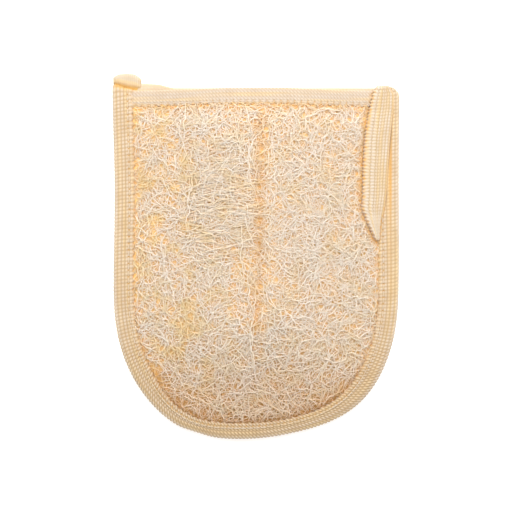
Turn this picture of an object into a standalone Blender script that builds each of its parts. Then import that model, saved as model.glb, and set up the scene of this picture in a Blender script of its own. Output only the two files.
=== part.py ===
"""A loofah bath mitt lying on its back, with the loofah face up.

Metres, +Z up and +Y towards the mouth, where the hand goes in. The origin is the centre of the
mitt's footprint, on the surface that it lies on.
"""

import math
import random

import bmesh
import bpy
from mathutils import Vector
from mathutils.bvhtree import BVHTree

MM = 0.001

# Plan of the mitt: two long sides and a round end, seen from above
HALF_WIDTH = 74.3 * MM
BEND_Y = -15.0 * MM
ROUND_LENGTH = 79.9 * MM
ROUND_POWER = 2.4
ROUND_LEAN = -8.5 * MM
LEAN_POWER = 7.0
WAIST = 0.7 * MM
MOUTH_FLARE = 0.6 * MM
FACE_MOUTH_Y = 86.1 * MM
BACK_MOUTH_Y = 88.1 * MM
TAPE_END_Y = 87.3 * MM
SPINE_X = 2.0 * MM

# Heights of the layers, as the side tape presses them together
TAPE = 0.7 * MM
CLEAR = 0.3 * MM
BACK_RIM_THICK = 2.6 * MM
FACE_RIM_THICK = 3.2 * MM
BACK_LOW = TAPE + CLEAR
BACK_TOP = BACK_LOW + BACK_RIM_THICK
FACE_LOW = BACK_TOP + CLEAR
FACE_RIM_TOP = FACE_LOW + FACE_RIM_THICK
RIM_HEIGHT = FACE_RIM_TOP + CLEAR + TAPE

# Loofah face
FACE_THICK = 5.0 * MM
CROWN = 13.0 * MM
CROWN_START = 8.0 * MM
CROWN_RUN = 60.0 * MM
SWELL_START = 7.0 * MM
SWELL_RUN = 14.0 * MM
GROOVE = 1.6 * MM
GROOVE_END_Y = -38.0 * MM
GROOVE_FADE = 24.0 * MM
GROOVE_HALF_WIDTH = 6.0 * MM

# Tapes
TAPE_LEG = 11.0 * MM
FRONT_LEG_RISE = 0.8 * MM
FOLD_REACH = 3.0 * MM
MOUTH_LEG = 8.5 * MM
MOUTH_PRESSED = 10.0 * MM
MOUTH_SWELL_RUN = 9.0 * MM
MOUTH_TAPE_INSET = 4.2 * MM
FOLD_SEGMENTS = 6

# A panel is modelled on rings that step in from the edge, and then on shares of the way to the
# spine, at stations that step down from the mouth and then go round the end
FACE_GRID = {
    "rings": (3.2, 6.5, 11.0, 15.5, 21.0),
    "shares": (0.22, 0.45, 0.68, 0.89, 1.0),
    "steps": (1.8, 5.5, 10.0, 15.0, 21.0, 32.0, 46.0, 60.0, 74.0, 88.0),
    "round": 18,
}
BACK_GRID = {
    "rings": (3.2, 11.0, 14.5, 18.5),
    "shares": (0.5, 1.0),
    "steps": (1.8, 10.0, 14.5, 19.5, 40.0, 60.0, 80.0),
    "round": 16,
}

# Fibres that stand out of the loofah face
FIBRE_SEED = 11
FIBRE_PITCH = 10.4 * MM
FIBRE_JITTER = 0.3
FIBRE_TRIES = 6
FIBRE_SHARES = (1.0, 0.8, 0.6, 0.45)
FIBRE_RADIUS = 1.05 * MM
FIBRE_HALF_LENGTH = (11.0 * MM, 16.0 * MM)
FIBRE_BEND = 0.8
FIBRE_STATIONS = 5
FIBRE_LIFT = 0.42 * MM
FIBRE_ROOT = 1.5 * MM
FIBRE_EDGE = 13.2 * MM
FIBRE_MOUTH = 11.0 * MM
LOOP_MARGIN = 2.4 * MM

# Hanging loop: one tape folded lengthwise, over the right side of the face
LOOP_THICK = 1.4 * MM
LOOP_TOP_Y = 87.0 * MM
LOOP_LIP_LOW = 4.4 * MM
LOOP_LIP_REACH = 0.6 * MM
LOOP_ROWS = 17
LOOP_COLUMNS = 6
LOOP_REST = 2.5 * MM
LOOP_EDGES = [  # height of a place on the tape, its left edge and its right edge, from the tip up
    (8.3 * MM, 62.8 * MM, 63.9 * MM),
    (13.5 * MM, 60.8 * MM, 64.2 * MM),
    (18.5 * MM, 58.6 * MM, 64.8 * MM),
    (24.5 * MM, 55.4 * MM, 66.6 * MM),
    (32.0 * MM, 56.0 * MM, 68.4 * MM),
    (46.8 * MM, 56.4 * MM, 69.2 * MM),
    (60.3 * MM, 57.2 * MM, 69.9 * MM),
    (70.5 * MM, 58.5 * MM, 70.8 * MM),
    (77.0 * MM, 59.6 * MM, 71.2 * MM),
    (LOOP_TOP_Y, 62.3 * MM, 71.0 * MM),
]

# End of the side tape, turned under past the left corner of the mouth
TURN_LEFT = -73.6 * MM
TURN_RIGHT = -60.8 * MM
TURN_START_Y = 85.6 * MM
TURN_BEND_Y = 92.8 * MM
TURN_RADIUS = 1.75 * MM
TURN_TOP = RIM_HEIGHT - 0.3 * MM
TURN_BACK_Y = 88.0 * MM
TURN_SEGMENTS = 6

SHARP_ANGLE = math.radians(40)
MATERIALS = {
    "loofah_face": ((0.84, 0.65, 0.42), 0.85),
    "back_cloth": ((0.88, 0.76, 0.58), 0.95),
    "side_binding": ((0.86, 0.68, 0.46), 0.8),
    "front_mouth_binding": ((0.88, 0.71, 0.5), 0.8),
    "back_mouth_binding": ((0.9, 0.75, 0.55), 0.8),
    "hanging_loop": ((0.89, 0.72, 0.51), 0.8),
}


def smooth(value):
    """Eases 0 to 1 into a step without corners, and holds it outside."""
    share = min(1.0, max(0.0, value))
    return share * share * (3.0 - 2.0 * share)


def half_width(y):
    """Half of the mitt's width at a height y along its straight sides."""
    share = (y - BEND_Y) / (FACE_MOUTH_Y - BEND_Y)
    return HALF_WIDTH - WAIST * math.sin(math.pi * share) ** 2 + MOUTH_FLARE * share**2


def round_point(angle):
    """Point of the round end, from the left side at 0 to the right side at pi."""
    across, along = math.cos(angle), max(0.0, math.sin(angle))
    x = -HALF_WIDTH * math.copysign(abs(across) ** (2 / ROUND_POWER), across)
    return Vector((
        x + ROUND_LEAN * along**LEAN_POWER,
        BEND_Y - ROUND_LENGTH * along ** (2 / ROUND_POWER),
        0.0,
    ))


def outline(side_heights, round_count):
    """Points of the outer edge, from the left corner of the mouth round to the right one."""
    left = [Vector((-half_width(y), y, 0.0)) for y in side_heights]
    turns = [math.pi * i / round_count for i in range(1, round_count)]
    right = [Vector((half_width(y), y, 0.0)) for y in reversed(side_heights)]
    return left + [round_point(angle) for angle in turns] + right


def inward_normals(points):
    """Unit vectors that point into the mitt at each point of an outline."""
    normals = []
    for i in range(len(points)):
        along = points[min(i + 1, len(points) - 1)] - points[max(i - 1, 0)]
        normals.append(Vector((-along.y, along.x, 0.0)).normalized())
    return normals


EDGE_LINE = outline([(120 - 3 * i) * MM for i in range(45)] + [BEND_Y], 120)


def rim_distance(x, y):
    """Distance in from the outer edge of the two sides and the round end, negative outside."""
    place = Vector((x, y, 0.0))
    nearest, side = math.inf, 1.0
    for start, end in zip(EDGE_LINE, EDGE_LINE[1:]):
        step, offset = end - start, place - start
        share = min(1.0, max(0.0, offset.dot(step) / step.length_squared))
        distance = (offset - step * share).length
        if distance < nearest:
            nearest, side = distance, step.cross(offset).z
    return math.copysign(nearest, side)


def groove_depth(x, y):
    """Depth of the long dip down the middle of the loofah face."""
    across = smooth(1.0 - abs(x - SPINE_X) / GROOVE_HALF_WIDTH)
    return GROOVE * across * smooth((y - GROOVE_END_Y) / GROOVE_FADE)


def face_low(x, y):
    """Underside of the loofah face, which is the roof of the hand's pocket."""
    return FACE_LOW + CROWN * smooth((rim_distance(x, y) - CROWN_START) / CROWN_RUN)


def face_top(x, y):
    """Upper side of the loofah face, level with the tape that binds its mouth."""
    swell = smooth((rim_distance(x, y) - SWELL_START) / SWELL_RUN)
    swell *= smooth((FACE_MOUTH_Y - y - MOUTH_PRESSED) / MOUTH_SWELL_RUN)
    thick = FACE_RIM_THICK + (FACE_THICK - FACE_RIM_THICK) * swell
    return face_low(x, y) + thick - groove_depth(x, y) * swell


def mouth_recess(x, y, mouth_y):
    """How far a panel is pressed in, on each side, under the tape of its mouth."""
    return (TAPE + CLEAR) if mouth_y - y < MOUTH_PRESSED + CLEAR else 0.0


def face_heights(x, y):
    """Lower and upper side of the loofah panel itself."""
    recess = mouth_recess(x, y, FACE_MOUTH_Y)
    return face_low(x, y) + recess, face_top(x, y) - recess


def back_heights(x, y):
    """Lower and upper side of the back cloth, which sinks to the surface inside its rim."""
    sink = smooth((rim_distance(x, y) - TAPE_LEG) / SWELL_START)
    sink *= smooth((BACK_MOUTH_Y - y - MOUTH_PRESSED) / MOUTH_SWELL_RUN)
    recess = mouth_recess(x, y, BACK_MOUTH_Y)
    return BACK_LOW * (1.0 - sink) + recess, BACK_TOP - recess


def binding_top(x, y):
    """Upper side of the side tape's front leg."""
    share = min(1.0, max(0.0, (rim_distance(x, y) - FOLD_REACH) / (TAPE_LEG - FOLD_REACH)))
    return RIM_HEIGHT + FRONT_LEG_RISE * share


def new_collection(name):
    """An empty collection in the scene."""
    made = bpy.data.collections.new(name)
    bpy.context.scene.collection.children.link(made)
    return made


def dress(made, name):
    """Gives an object its own material, with the colour and roughness of that piece."""
    colour, roughness = MATERIALS[name]
    material = bpy.data.materials.new(name)
    material.use_nodes = True
    shader = material.node_tree.nodes["Principled BSDF"]
    shader.inputs["Base Color"].default_value = (*colour, 1.0)
    shader.inputs["Roughness"].default_value = roughness
    shader.inputs["Metallic"].default_value = 0.0
    made.data.materials.append(material)
    made.data.shade_smooth()
    made.data.set_sharp_from_angle(angle=SHARP_ANGLE)


def object_from_bmesh(name, mesh, collection):
    """Turns a bmesh into an object of a collection, with flat faces."""
    bmesh.ops.triangulate(mesh, faces=mesh.faces)
    data = bpy.data.meshes.new(name)
    mesh.to_mesh(data)
    mesh.free()
    made = bpy.data.objects.new(name, data)
    collection.objects.link(made)
    return made


def mapped_grid(rows):
    """A sheet of quads through rows of points, made from a grid primitive."""
    mesh = bmesh.new()
    high, wide = len(rows) - 1, len(rows[0]) - 1
    bmesh.ops.create_grid(mesh, x_segments=wide, y_segments=high, size=1.0)
    for vertex in mesh.verts:
        column = round((vertex.co.x + 1.0) / 2.0 * wide)
        row = round((vertex.co.y + 1.0) / 2.0 * high)
        vertex.co = rows[row][column]
    return mesh


def panel_rows(grid, mouth_y):
    """Plan of a panel: a row of points from the edge in to the spine, at each station of the edge."""
    heights = [mouth_y - step * MM for step in grid["steps"]] + [BEND_Y]
    edge = outline(heights, grid["round"])
    rings = [inset * MM for inset in grid["rings"]]
    rows = []
    for place, normal in zip(edge, inward_normals(edge)):
        inner = place + normal * rings[-1]
        inner.y = place.y if place.y >= BEND_Y else inner.y
        spine = Vector((SPINE_X, max(place.y, BEND_Y), 0.0))
        row = [place + normal * inset for inset in rings]
        row += [inner.lerp(spine, share) for share in grid["shares"]]
        if place.y >= BEND_Y:
            row = [Vector((point.x, place.y, 0.0)) for point in row]
        rows.append(row)
    return rows


def make_panel(name, grid, mouth_y, heights, collection):
    """A panel of the mitt's plan, between the two heights that a function gives at each place."""
    mesh = mapped_grid(panel_rows(grid, mouth_y))
    bmesh.ops.remove_doubles(mesh, verts=mesh.verts, dist=0.01 * MM)
    extruded = bmesh.ops.extrude_face_region(mesh, geom=list(mesh.faces), use_keep_orig=True)
    upper = {item for item in extruded["geom"] if isinstance(item, bmesh.types.BMVert)}
    for vertex in mesh.verts:
        low, high = heights(vertex.co.x, vertex.co.y)
        vertex.co.z = high if vertex in upper else low
    bmesh.ops.recalc_face_normals(mesh, faces=mesh.faces)
    return object_from_bmesh(name, mesh, collection)


def flat_curve(name, points, closed, collection):
    """A poly curve through points."""
    data = bpy.data.curves.new(name, "CURVE")
    data.dimensions = "3D"
    data.twist_mode = "Z_UP"
    spline = data.splines.new("POLY")
    spline.points.add(len(points) - 1)
    for point, place in zip(spline.points, points):
        point.co = (*place, 1.0)
    spline.use_cyclic_u = closed
    made = bpy.data.objects.new(name, data)
    collection.objects.link(made)
    return made


def swept(name, path, profile, collection):
    """A closed profile swept along a path and made one closed mesh.

    The profile's first number runs to the left of the path's direction, and its second up.
    """
    section = flat_curve(name + "_section", [(-x, y, 0.0) for x, y in profile], True, collection)
    section.data.dimensions = "2D"
    rail = flat_curve(name + "_rail", path, False, collection)
    rail.data.bevel_mode = "OBJECT"
    rail.data.bevel_object = section
    rail.data.use_fill_caps = True
    evaluated = rail.evaluated_get(bpy.context.evaluated_depsgraph_get())
    data = bpy.data.meshes.new_from_object(evaluated)
    bpy.data.objects.remove(rail)
    bpy.data.objects.remove(section)
    mesh = bmesh.new()
    mesh.from_mesh(data)
    bpy.data.meshes.remove(data)
    bmesh.ops.remove_doubles(mesh, verts=mesh.verts, dist=0.01 * MM)
    bmesh.ops.recalc_face_normals(mesh, faces=mesh.faces)
    return object_from_bmesh(name, mesh, collection)


def fold_profile(low, high, leg, reach, rise):
    """Section of a folded tape that opens inwards: the outer side, then the inner side."""
    middle, half = (low + high) / 2, (high - low) / 2
    turns = [math.pi * i / FOLD_SEGMENTS for i in range(FOLD_SEGMENTS + 1)]
    outer = [(reach - reach * math.sin(t), middle - half * math.cos(t)) for t in turns]
    inner = [
        (reach - (reach - TAPE) * math.sin(t), middle - (half - TAPE) * math.cos(t))
        for t in reversed(turns)
    ]
    return (
        [(leg, low), *outer, (leg, high + rise)]
        + [(leg, high + rise - TAPE), *inner, (leg, low + TAPE)]
    )


def turned_end(collection):
    """The end of the side tape, turned under past the left corner of the mouth."""
    middle = TURN_TOP - TAPE - TURN_RADIUS
    turns = [math.pi * i / TURN_SEGMENTS for i in range(TURN_SEGMENTS + 1)]
    side_view = [(TURN_START_Y, TURN_TOP - TAPE)]
    side_view += [
        (TURN_BEND_Y + TURN_RADIUS * math.sin(t) - TAPE / 2, middle + TURN_RADIUS * math.cos(t))
        for t in turns
    ]
    side_view.append((TURN_BACK_Y, middle - TURN_RADIUS))
    rows = [[Vector((x, y, z)) for x in (TURN_LEFT, TURN_RIGHT)] for y, z in side_view]
    made = object_from_bmesh("turned_end", mapped_grid(rows), collection)
    thicken(made, TAPE, 1.0)
    return made


def thicken(made, thickness, offset):
    """Gives an open sheet its thickness, on the side that its faces point to."""
    shell = made.modifiers.new("thickness", "SOLIDIFY")
    shell.thickness = thickness
    shell.offset = offset
    shell.use_even_offset = True


def apply_modifiers(made):
    """Replaces an object's mesh with the evaluated one and clears its modifiers."""
    evaluated = made.evaluated_get(bpy.context.evaluated_depsgraph_get())
    data = bpy.data.meshes.new_from_object(evaluated)
    made.modifiers.clear()
    made.data = data


def join(made, collection, solver):
    """Unites an object with every object of a collection, and removes those."""
    union = made.modifiers.new("union", "BOOLEAN")
    union.operation = "UNION"
    union.operand_type = "COLLECTION"
    union.collection = collection
    union.solver = solver
    apply_modifiers(made)
    for operand in list(collection.objects):
        bpy.data.objects.remove(operand)


def keep_largest_shell(made):
    """Fills any hollow that fusing has sealed, and drops loose scraps."""
    mesh = bmesh.new()
    mesh.from_mesh(made.data)
    shells, unseen = [], set(mesh.faces)
    while unseen:
        shell, front = set(), [unseen.pop()]
        while front:
            face = front.pop()
            shell.add(face)
            near = {other for edge in face.edges for other in edge.link_faces} & unseen
            unseen -= near
            front.extend(near)
        shells.append(shell)
    shells.sort(key=len)
    for shell in shells[:-1]:
        bmesh.ops.delete(mesh, geom=list(shell), context="FACES")
    mesh.to_mesh(made.data)
    mesh.free()


def make_side_binding(collection, cutters):
    """Tape folded over both panels, from one corner of the mouth round to the other."""
    heights = [TAPE_END_Y] + [(80 - 12 * i) * MM for i in range(8)] + [BEND_Y]
    profile = fold_profile(0.0, RIM_HEIGHT, TAPE_LEG, FOLD_REACH, FRONT_LEG_RISE)
    made = swept("side_binding", outline(heights, 36), profile, collection)
    end = turned_end(cutters)
    apply_modifiers(end)
    join(made, cutters, "EXACT")
    return made


def make_front_mouth_binding(collection):
    """Tape folded over the mouth edge of the loofah face, arched with it."""
    rows = panel_rows(FACE_GRID, FACE_MOUTH_Y)
    reach = half_width(FACE_MOUTH_Y) - MOUTH_TAPE_INSET
    inner = [point.x for point in rows[-1][1:]] + [point.x for point in reversed(rows[0][1:-1])]
    path = [Vector((x, FACE_MOUTH_Y, face_low(x, FACE_MOUTH_Y))) for x in [reach, *inner, -reach]]
    profile = fold_profile(0.0, FACE_RIM_THICK, MOUTH_LEG, TAPE * 2, 0.0)
    return swept("front_mouth_binding", path, profile, collection)


def make_back_mouth_binding(collection):
    """Tape folded over the mouth edge of the back cloth."""
    reach = half_width(BACK_MOUTH_Y) - MOUTH_TAPE_INSET
    path = [Vector((x, BACK_MOUTH_Y, BACK_LOW)) for x in (reach, 0.0, -reach)]
    profile = fold_profile(0.0, BACK_RIM_THICK, MOUTH_LEG, TAPE * 2, 0.0)
    return swept("back_mouth_binding", path, profile, collection)


def loop_span(y):
    """Left and right edge of the hanging loop at a height y, or None past its ends."""
    for (y0, left0, right0), (y1, left1, right1) in zip(LOOP_EDGES, LOOP_EDGES[1:]):
        if y0 <= y <= y1:
            share = (y - y0) / (y1 - y0)
            return left0 + (left1 - left0) * share, right0 + (right1 - right0) * share
    return None


def loop_bed(x, y):
    """Height that the hanging loop lies on: the highest of what is close under a place."""
    steps = (-LOOP_REST, 0.0, LOOP_REST)
    around = [(x + across, y + along) for across in steps for along in steps]
    return max(max(binding_top(*place), face_top(*place)) for place in around)


def make_hanging_loop(collection):
    """Folded tape that lies along the right side, with its top turned down over the mouth."""
    tip_y = LOOP_EDGES[0][0]
    rows = []
    for i in range(LOOP_ROWS):
        y = tip_y + (LOOP_TOP_Y - tip_y) * i / (LOOP_ROWS - 1)
        left, right = loop_span(min(y, LOOP_TOP_Y))
        xs = [left + (right - left) * j / (LOOP_COLUMNS - 1) for j in range(LOOP_COLUMNS)]
        rows.append([Vector((x, y, loop_bed(x, y) + CLEAR)) for x in xs])
    top = rows[-1]
    outer_y = TAPE_END_Y + CLEAR
    rows.append([Vector((p.x, outer_y, p.z - LOOP_LIP_REACH)) for p in top])
    rows.append([Vector((p.x, outer_y, LOOP_LIP_LOW)) for p in top])
    made = object_from_bmesh("hanging_loop", mapped_grid(rows), collection)
    thicken(made, LOOP_THICK, 1.0)
    return made


def fibre_is_clear(points):
    """Whether a fibre stays inside the face, clear of the tapes and of the hanging loop."""
    for x, y in points:
        if rim_distance(x, y) < FIBRE_EDGE or FACE_MOUTH_Y - y < FIBRE_MOUTH:
            return False
        span = loop_span(y) or loop_span(y + LOOP_MARGIN)
        if span and span[0] - LOOP_MARGIN < x < span[1] + LOOP_MARGIN:
            return False
    return True


def fibre_plan(draw, centre):
    """Plan of one bent fibre through a place, or None where no fibre fits."""
    for shorten in FIBRE_SHARES:
        for _ in range(FIBRE_TRIES):
            angle = draw.uniform(0.0, math.pi)
            bend = draw.uniform(-FIBRE_BEND, FIBRE_BEND)
            half = draw.uniform(*FIBRE_HALF_LENGTH) * shorten
            points = []
            for i in range(FIBRE_STATIONS):
                along = 2.0 * i / (FIBRE_STATIONS - 1) - 1.0
                turn = angle + bend * along
                points.append((
                    centre[0] + half * along * math.cos(turn),
                    centre[1] + half * along * math.sin(turn),
                ))
            if fibre_is_clear(points):
                return points
    return None


def surface_height(tree, x, y):
    """Height of the upper side of a mesh above a place."""
    above = Vector((x, y, 100 * MM))
    return tree.ray_cast(above, Vector((0.0, 0.0, -1.0)))[0].z


def make_fibres(core, collection):
    """Bent three-sided fibres over the whole face, with both ends rooted in it."""
    draw = random.Random(FIBRE_SEED)
    tree = BVHTree.FromObject(core, bpy.context.evaluated_depsgraph_get())
    turns = [math.tau * i / 3 for i in range(3)]
    section = [(FIBRE_RADIUS * math.sin(turn), FIBRE_RADIUS * math.cos(turn)) for turn in turns]
    columns = int(HALF_WIDTH / FIBRE_PITCH) + 1
    rows = int(BACK_MOUTH_Y / FIBRE_PITCH) + 1
    for row in range(-rows, rows + 1):
        for column in range(-columns, columns + 1):
            stagger = 0.5 * (row % 2)
            x = (column + stagger + draw.uniform(-FIBRE_JITTER, FIBRE_JITTER)) * FIBRE_PITCH
            y = (row + draw.uniform(-FIBRE_JITTER, FIBRE_JITTER)) * FIBRE_PITCH
            if not fibre_is_clear([(x, y)]):
                continue
            plan = fibre_plan(draw, (x, y))
            if plan is None:
                continue
            path = []
            for i, (px, py) in enumerate(plan):
                end = abs(2.0 * i / (FIBRE_STATIONS - 1) - 1.0) ** 3
                lift = FIBRE_LIFT - (FIBRE_LIFT + FIBRE_ROOT) * end
                path.append(Vector((px, py, surface_height(tree, px, py) + lift)))
            swept("fibre", path, section, collection)


def make_loofah_face(collection, cutters):
    """The loofah panel: a crowned core with its net of fibres standing out of it."""
    made = make_panel("loofah_face", FACE_GRID, FACE_MOUTH_Y, face_heights, collection)
    make_fibres(made, cutters)
    join(made, cutters, "MANIFOLD")
    keep_largest_shell(made)
    return made


def main():
    """Clears the scene and builds the mitt."""
    for old in list(bpy.data.objects):
        bpy.data.objects.remove(old)
    mitt = new_collection("loofah_bath_mitt")
    cutters = new_collection("operands")
    pieces = [
        make_loofah_face(mitt, cutters),
        make_panel("back_cloth", BACK_GRID, BACK_MOUTH_Y, back_heights, mitt),
        make_side_binding(mitt, cutters),
        make_front_mouth_binding(mitt),
        make_back_mouth_binding(mitt),
        make_hanging_loop(mitt),
    ]
    for made in pieces:
        dress(made, made.name)


main()
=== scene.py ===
"""A loofah bath mitt, lying on its back on a pale floor and seen from straight above.

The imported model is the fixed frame. Each of its nodes is replaced here by finer pieces of the
same form: the loofah's net of fibres, the woven tapes with their stitches, and the terry back.
"""

from __future__ import annotations

import logging
import math
from dataclasses import dataclass, field
from enum import Enum
from typing import Any

import bmesh
import bpy
import numpy as np
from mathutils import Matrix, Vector
from mathutils.geometry import delaunay_2d_cdt


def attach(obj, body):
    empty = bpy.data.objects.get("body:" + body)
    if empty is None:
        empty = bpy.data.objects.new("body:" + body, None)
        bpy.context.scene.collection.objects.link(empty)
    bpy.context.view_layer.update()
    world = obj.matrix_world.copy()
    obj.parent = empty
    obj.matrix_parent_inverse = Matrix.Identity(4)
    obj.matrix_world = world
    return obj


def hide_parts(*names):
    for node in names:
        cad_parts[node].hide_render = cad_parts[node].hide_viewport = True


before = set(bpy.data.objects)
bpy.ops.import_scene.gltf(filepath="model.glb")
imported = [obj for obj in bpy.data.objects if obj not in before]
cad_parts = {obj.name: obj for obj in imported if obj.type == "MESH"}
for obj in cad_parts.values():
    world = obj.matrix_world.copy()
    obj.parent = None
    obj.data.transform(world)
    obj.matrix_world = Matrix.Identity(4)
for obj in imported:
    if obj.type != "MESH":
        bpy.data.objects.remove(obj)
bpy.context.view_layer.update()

log = logging.getLogger("loofah_mitt")

MM = 0.001
WELD = 0.02 * MM
PLACES_AT_ONCE = 4000
NO_SEAM = 30.0


class Side(Enum):
    """Which way a layer of fibres or loops grows from its ground."""

    UP = 1.0
    DOWN = -1.0


class Slot(Enum):
    """The record's material slots."""

    LOOFAH = "loofah"
    TERRY = "terry"
    TAPE = "tape"


class Zone(Enum):
    """Where on the loofah face a layer of fibres grows."""

    WHOLE = "whole"
    STRANDS = "strands"
    COMBED = "combed"


def smooth(value: np.ndarray | float) -> np.ndarray | float:
    """Eases 0 to 1 into a step without corners, and holds it outside."""
    share = np.clip(value, 0.0, 1.0)
    return share * share * (3.0 - 2.0 * share)


def ramp_up(value: np.ndarray, start: np.ndarray | float, run: np.ndarray | float) -> np.ndarray:
    """Eases from 0 at a start to 1 a run further up."""
    return smooth((value - start) / run)


def ramp_down(value: np.ndarray, end: float, run: float) -> np.ndarray:
    """Eases from 1 a run below an end to 0 at the end."""
    return smooth((end - value) / run)


def hump(value: np.ndarray, middle: float, half: float) -> np.ndarray:
    """Eases from 1 at a middle to 0 at half a width from it."""
    return smooth(1.0 - np.abs(value - middle) / half)


def bell(value: np.ndarray, middle: np.ndarray | float, width: np.ndarray | float) -> np.ndarray:
    """A bell curve of height 1 round a middle."""
    return np.exp(-(((value - middle) / width) ** 2))


@dataclass(frozen=True)
class MittForm:
    """Plan and heights of the mitt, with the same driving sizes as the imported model.

    The tuples for the hanging loop and the crease are in millimetres.
    """

    half_width: float = 74.3 * MM
    bend_y: float = -15.0 * MM
    round_length: float = 79.9 * MM
    round_power: float = 2.4
    round_lean: float = -8.5 * MM
    lean_power: float = 7.0
    waist: float = 0.7 * MM
    mouth_flare: float = 0.6 * MM
    face_mouth_y: float = 86.1 * MM
    back_mouth_y: float = 88.1 * MM
    tape_end_y: float = 87.3 * MM
    spine_x: float = 2.0 * MM
    face_low_z: float = 3.9 * MM
    face_rim: float = 3.2 * MM
    face_thick: float = 5.0 * MM
    crown: float = 13.0 * MM
    crown_start: float = 8.0 * MM
    crown_run: float = 60.0 * MM
    swell_start: float = 7.0 * MM
    swell_run: float = 14.0 * MM
    mouth_pressed: float = 10.0 * MM
    mouth_run: float = 9.0 * MM
    groove: float = 1.6 * MM
    groove_end_y: float = -38.0 * MM
    groove_fade: float = 24.0 * MM
    groove_half: float = 6.0 * MM
    rim_height: float = 8.1 * MM
    leg_rise: float = 0.15 * MM
    leg_rise_start: float = 3.0 * MM
    leg_rise_run: float = 8.0 * MM
    tape_leg: float = 10.8 * MM
    narrow_leg: float = 8.2 * MM
    narrow_start_y: float = -58.0 * MM
    narrow_run: float = 34.0 * MM
    mouth_leg: float = 8.5 * MM
    strap_heights: tuple[float, ...] = (8.3, 13.5, 18.5, 24.5, 32.0, 46.8, 60.3, 70.5, 77.0, 84.0, 87.0)
    strap_lefts: tuple[float, ...] = (62.2, 59.8, 57.4, 55.2, 55.6, 55.9, 56.7, 58.1, 59.4, 61.0, 62.6)
    strap_rights: tuple[float, ...] = (63.9, 64.3, 64.9, 66.3, 67.3, 68.2, 69.1, 70.2, 71.0, 71.0, 69.4)
    crease_places: tuple[float, ...] = (-73.0, -70.0, -65.5, -59.0)
    crease_heights: tuple[float, ...] = (89.9, 88.6, 87.4, 87.0)
    rim_top_y: float = 120.0 * MM
    rim_step: float = 2.0 * MM
    side_points: int = 200
    round_points: int = 801

    def half_at(self, y: np.ndarray) -> np.ndarray:
        """Half of the width at heights y along the straight sides."""
        share = (y - self.bend_y) / (self.face_mouth_y - self.bend_y)
        narrow = self.waist * np.sin(math.pi * np.clip(share, 0.0, 1.1)) ** 2
        return self.half_width - narrow + self.mouth_flare * share**2

    def outline(self, top_y: float, spacing: float) -> np.ndarray:
        """Evenly spaced points of the outer edge, from the left mouth corner to the right one.

        Args:
            top_y: height of both ends.
            spacing: distance between points along the edge.

        Returns:
            An array of x and y, one row a point.
        """
        heights = np.linspace(top_y, self.bend_y, self.side_points)
        angle = np.linspace(0.0, math.pi, self.round_points)[1:-1]
        across, along = np.cos(angle), np.sin(angle)
        x = -self.half_width * np.sign(across) * np.abs(across) ** (2 / self.round_power)
        x = x + self.round_lean * along**self.lean_power
        y = self.bend_y - self.round_length * along ** (2 / self.round_power)
        half = self.half_at(heights)
        line = np.concatenate([
            np.stack([-half, heights], axis=1),
            np.stack([x, y], axis=1),
            np.stack([half[::-1], heights[::-1]], axis=1),
        ])
        return evenly(line, spacing)

    def rim_distance(self, x: np.ndarray, y: np.ndarray) -> np.ndarray:
        """Distance in from the two sides and the round end, negative outside."""
        return line_distance(x, y, self.outline(self.rim_top_y, self.rim_step))

    def strap_distance(self, x: np.ndarray, y: np.ndarray) -> np.ndarray:
        """Distance in from the hanging loop's edges, negative outside it."""
        heights, lefts, rights = (
            np.array(side) * MM for side in (self.strap_heights, self.strap_lefts, self.strap_rights)
        )
        down = np.stack([lefts[::-1], heights[::-1]], axis=1)
        up = np.stack([rights, heights], axis=1)
        return line_distance(x, y, np.concatenate([down, up]))

    def strap_edges(self, y: np.ndarray) -> tuple[np.ndarray, np.ndarray]:
        """Left and right edge of the hanging loop at heights y."""
        heights = np.array(self.strap_heights) * MM
        return tuple(
            np.interp(y, heights, np.array(side) * MM)
            for side in (self.strap_lefts, self.strap_rights)
        )

    def lap(self, y: np.ndarray) -> np.ndarray:
        """How far the side tape's front leg reaches in from the edge at heights y."""
        share = ramp_down(y, self.narrow_start_y, self.narrow_run)
        return self.tape_leg - (self.tape_leg - self.narrow_leg) * share

    def crease_y(self, x: np.ndarray) -> np.ndarray:
        """Height of the crease between the side tape and its turned end, at places x."""
        return np.interp(x, np.array(self.crease_places) * MM, np.array(self.crease_heights) * MM)

    def face_low(self, x: np.ndarray, y: np.ndarray) -> np.ndarray:
        """Underside of the loofah face."""
        rise = ramp_up(self.rim_distance(x, y), self.crown_start, self.crown_run)
        return self.face_low_z + self.crown * rise

    def face_top(self, x: np.ndarray, y: np.ndarray) -> np.ndarray:
        """Upper side of the loofah face."""
        swell = ramp_up(self.rim_distance(x, y), self.swell_start, self.swell_run)
        swell = swell * smooth((self.face_mouth_y - y - self.mouth_pressed) / self.mouth_run)
        thick = self.face_rim + (self.face_thick - self.face_rim) * swell
        dip = self.groove * hump(x, self.spine_x, self.groove_half)
        dip = dip * ramp_up(y, self.groove_end_y, self.groove_fade)
        return self.face_low(x, y) + thick - dip * swell

    def inside_tapes(self, x: np.ndarray, y: np.ndarray) -> np.ndarray:
        """Distance in from the bindings' inner edges, negative under the bindings."""
        sides = self.rim_distance(x, y) - self.lap(y)
        return np.minimum(sides, self.face_mouth_y - y - self.mouth_leg)

    def binding_top(self, x: np.ndarray, y: np.ndarray) -> np.ndarray:
        """Upper side of the side tape's front leg."""
        share = (self.rim_distance(x, y) - self.leg_rise_start) / self.leg_rise_run
        return self.rim_height + self.leg_rise * np.clip(share, 0.0, 1.0)


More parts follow.
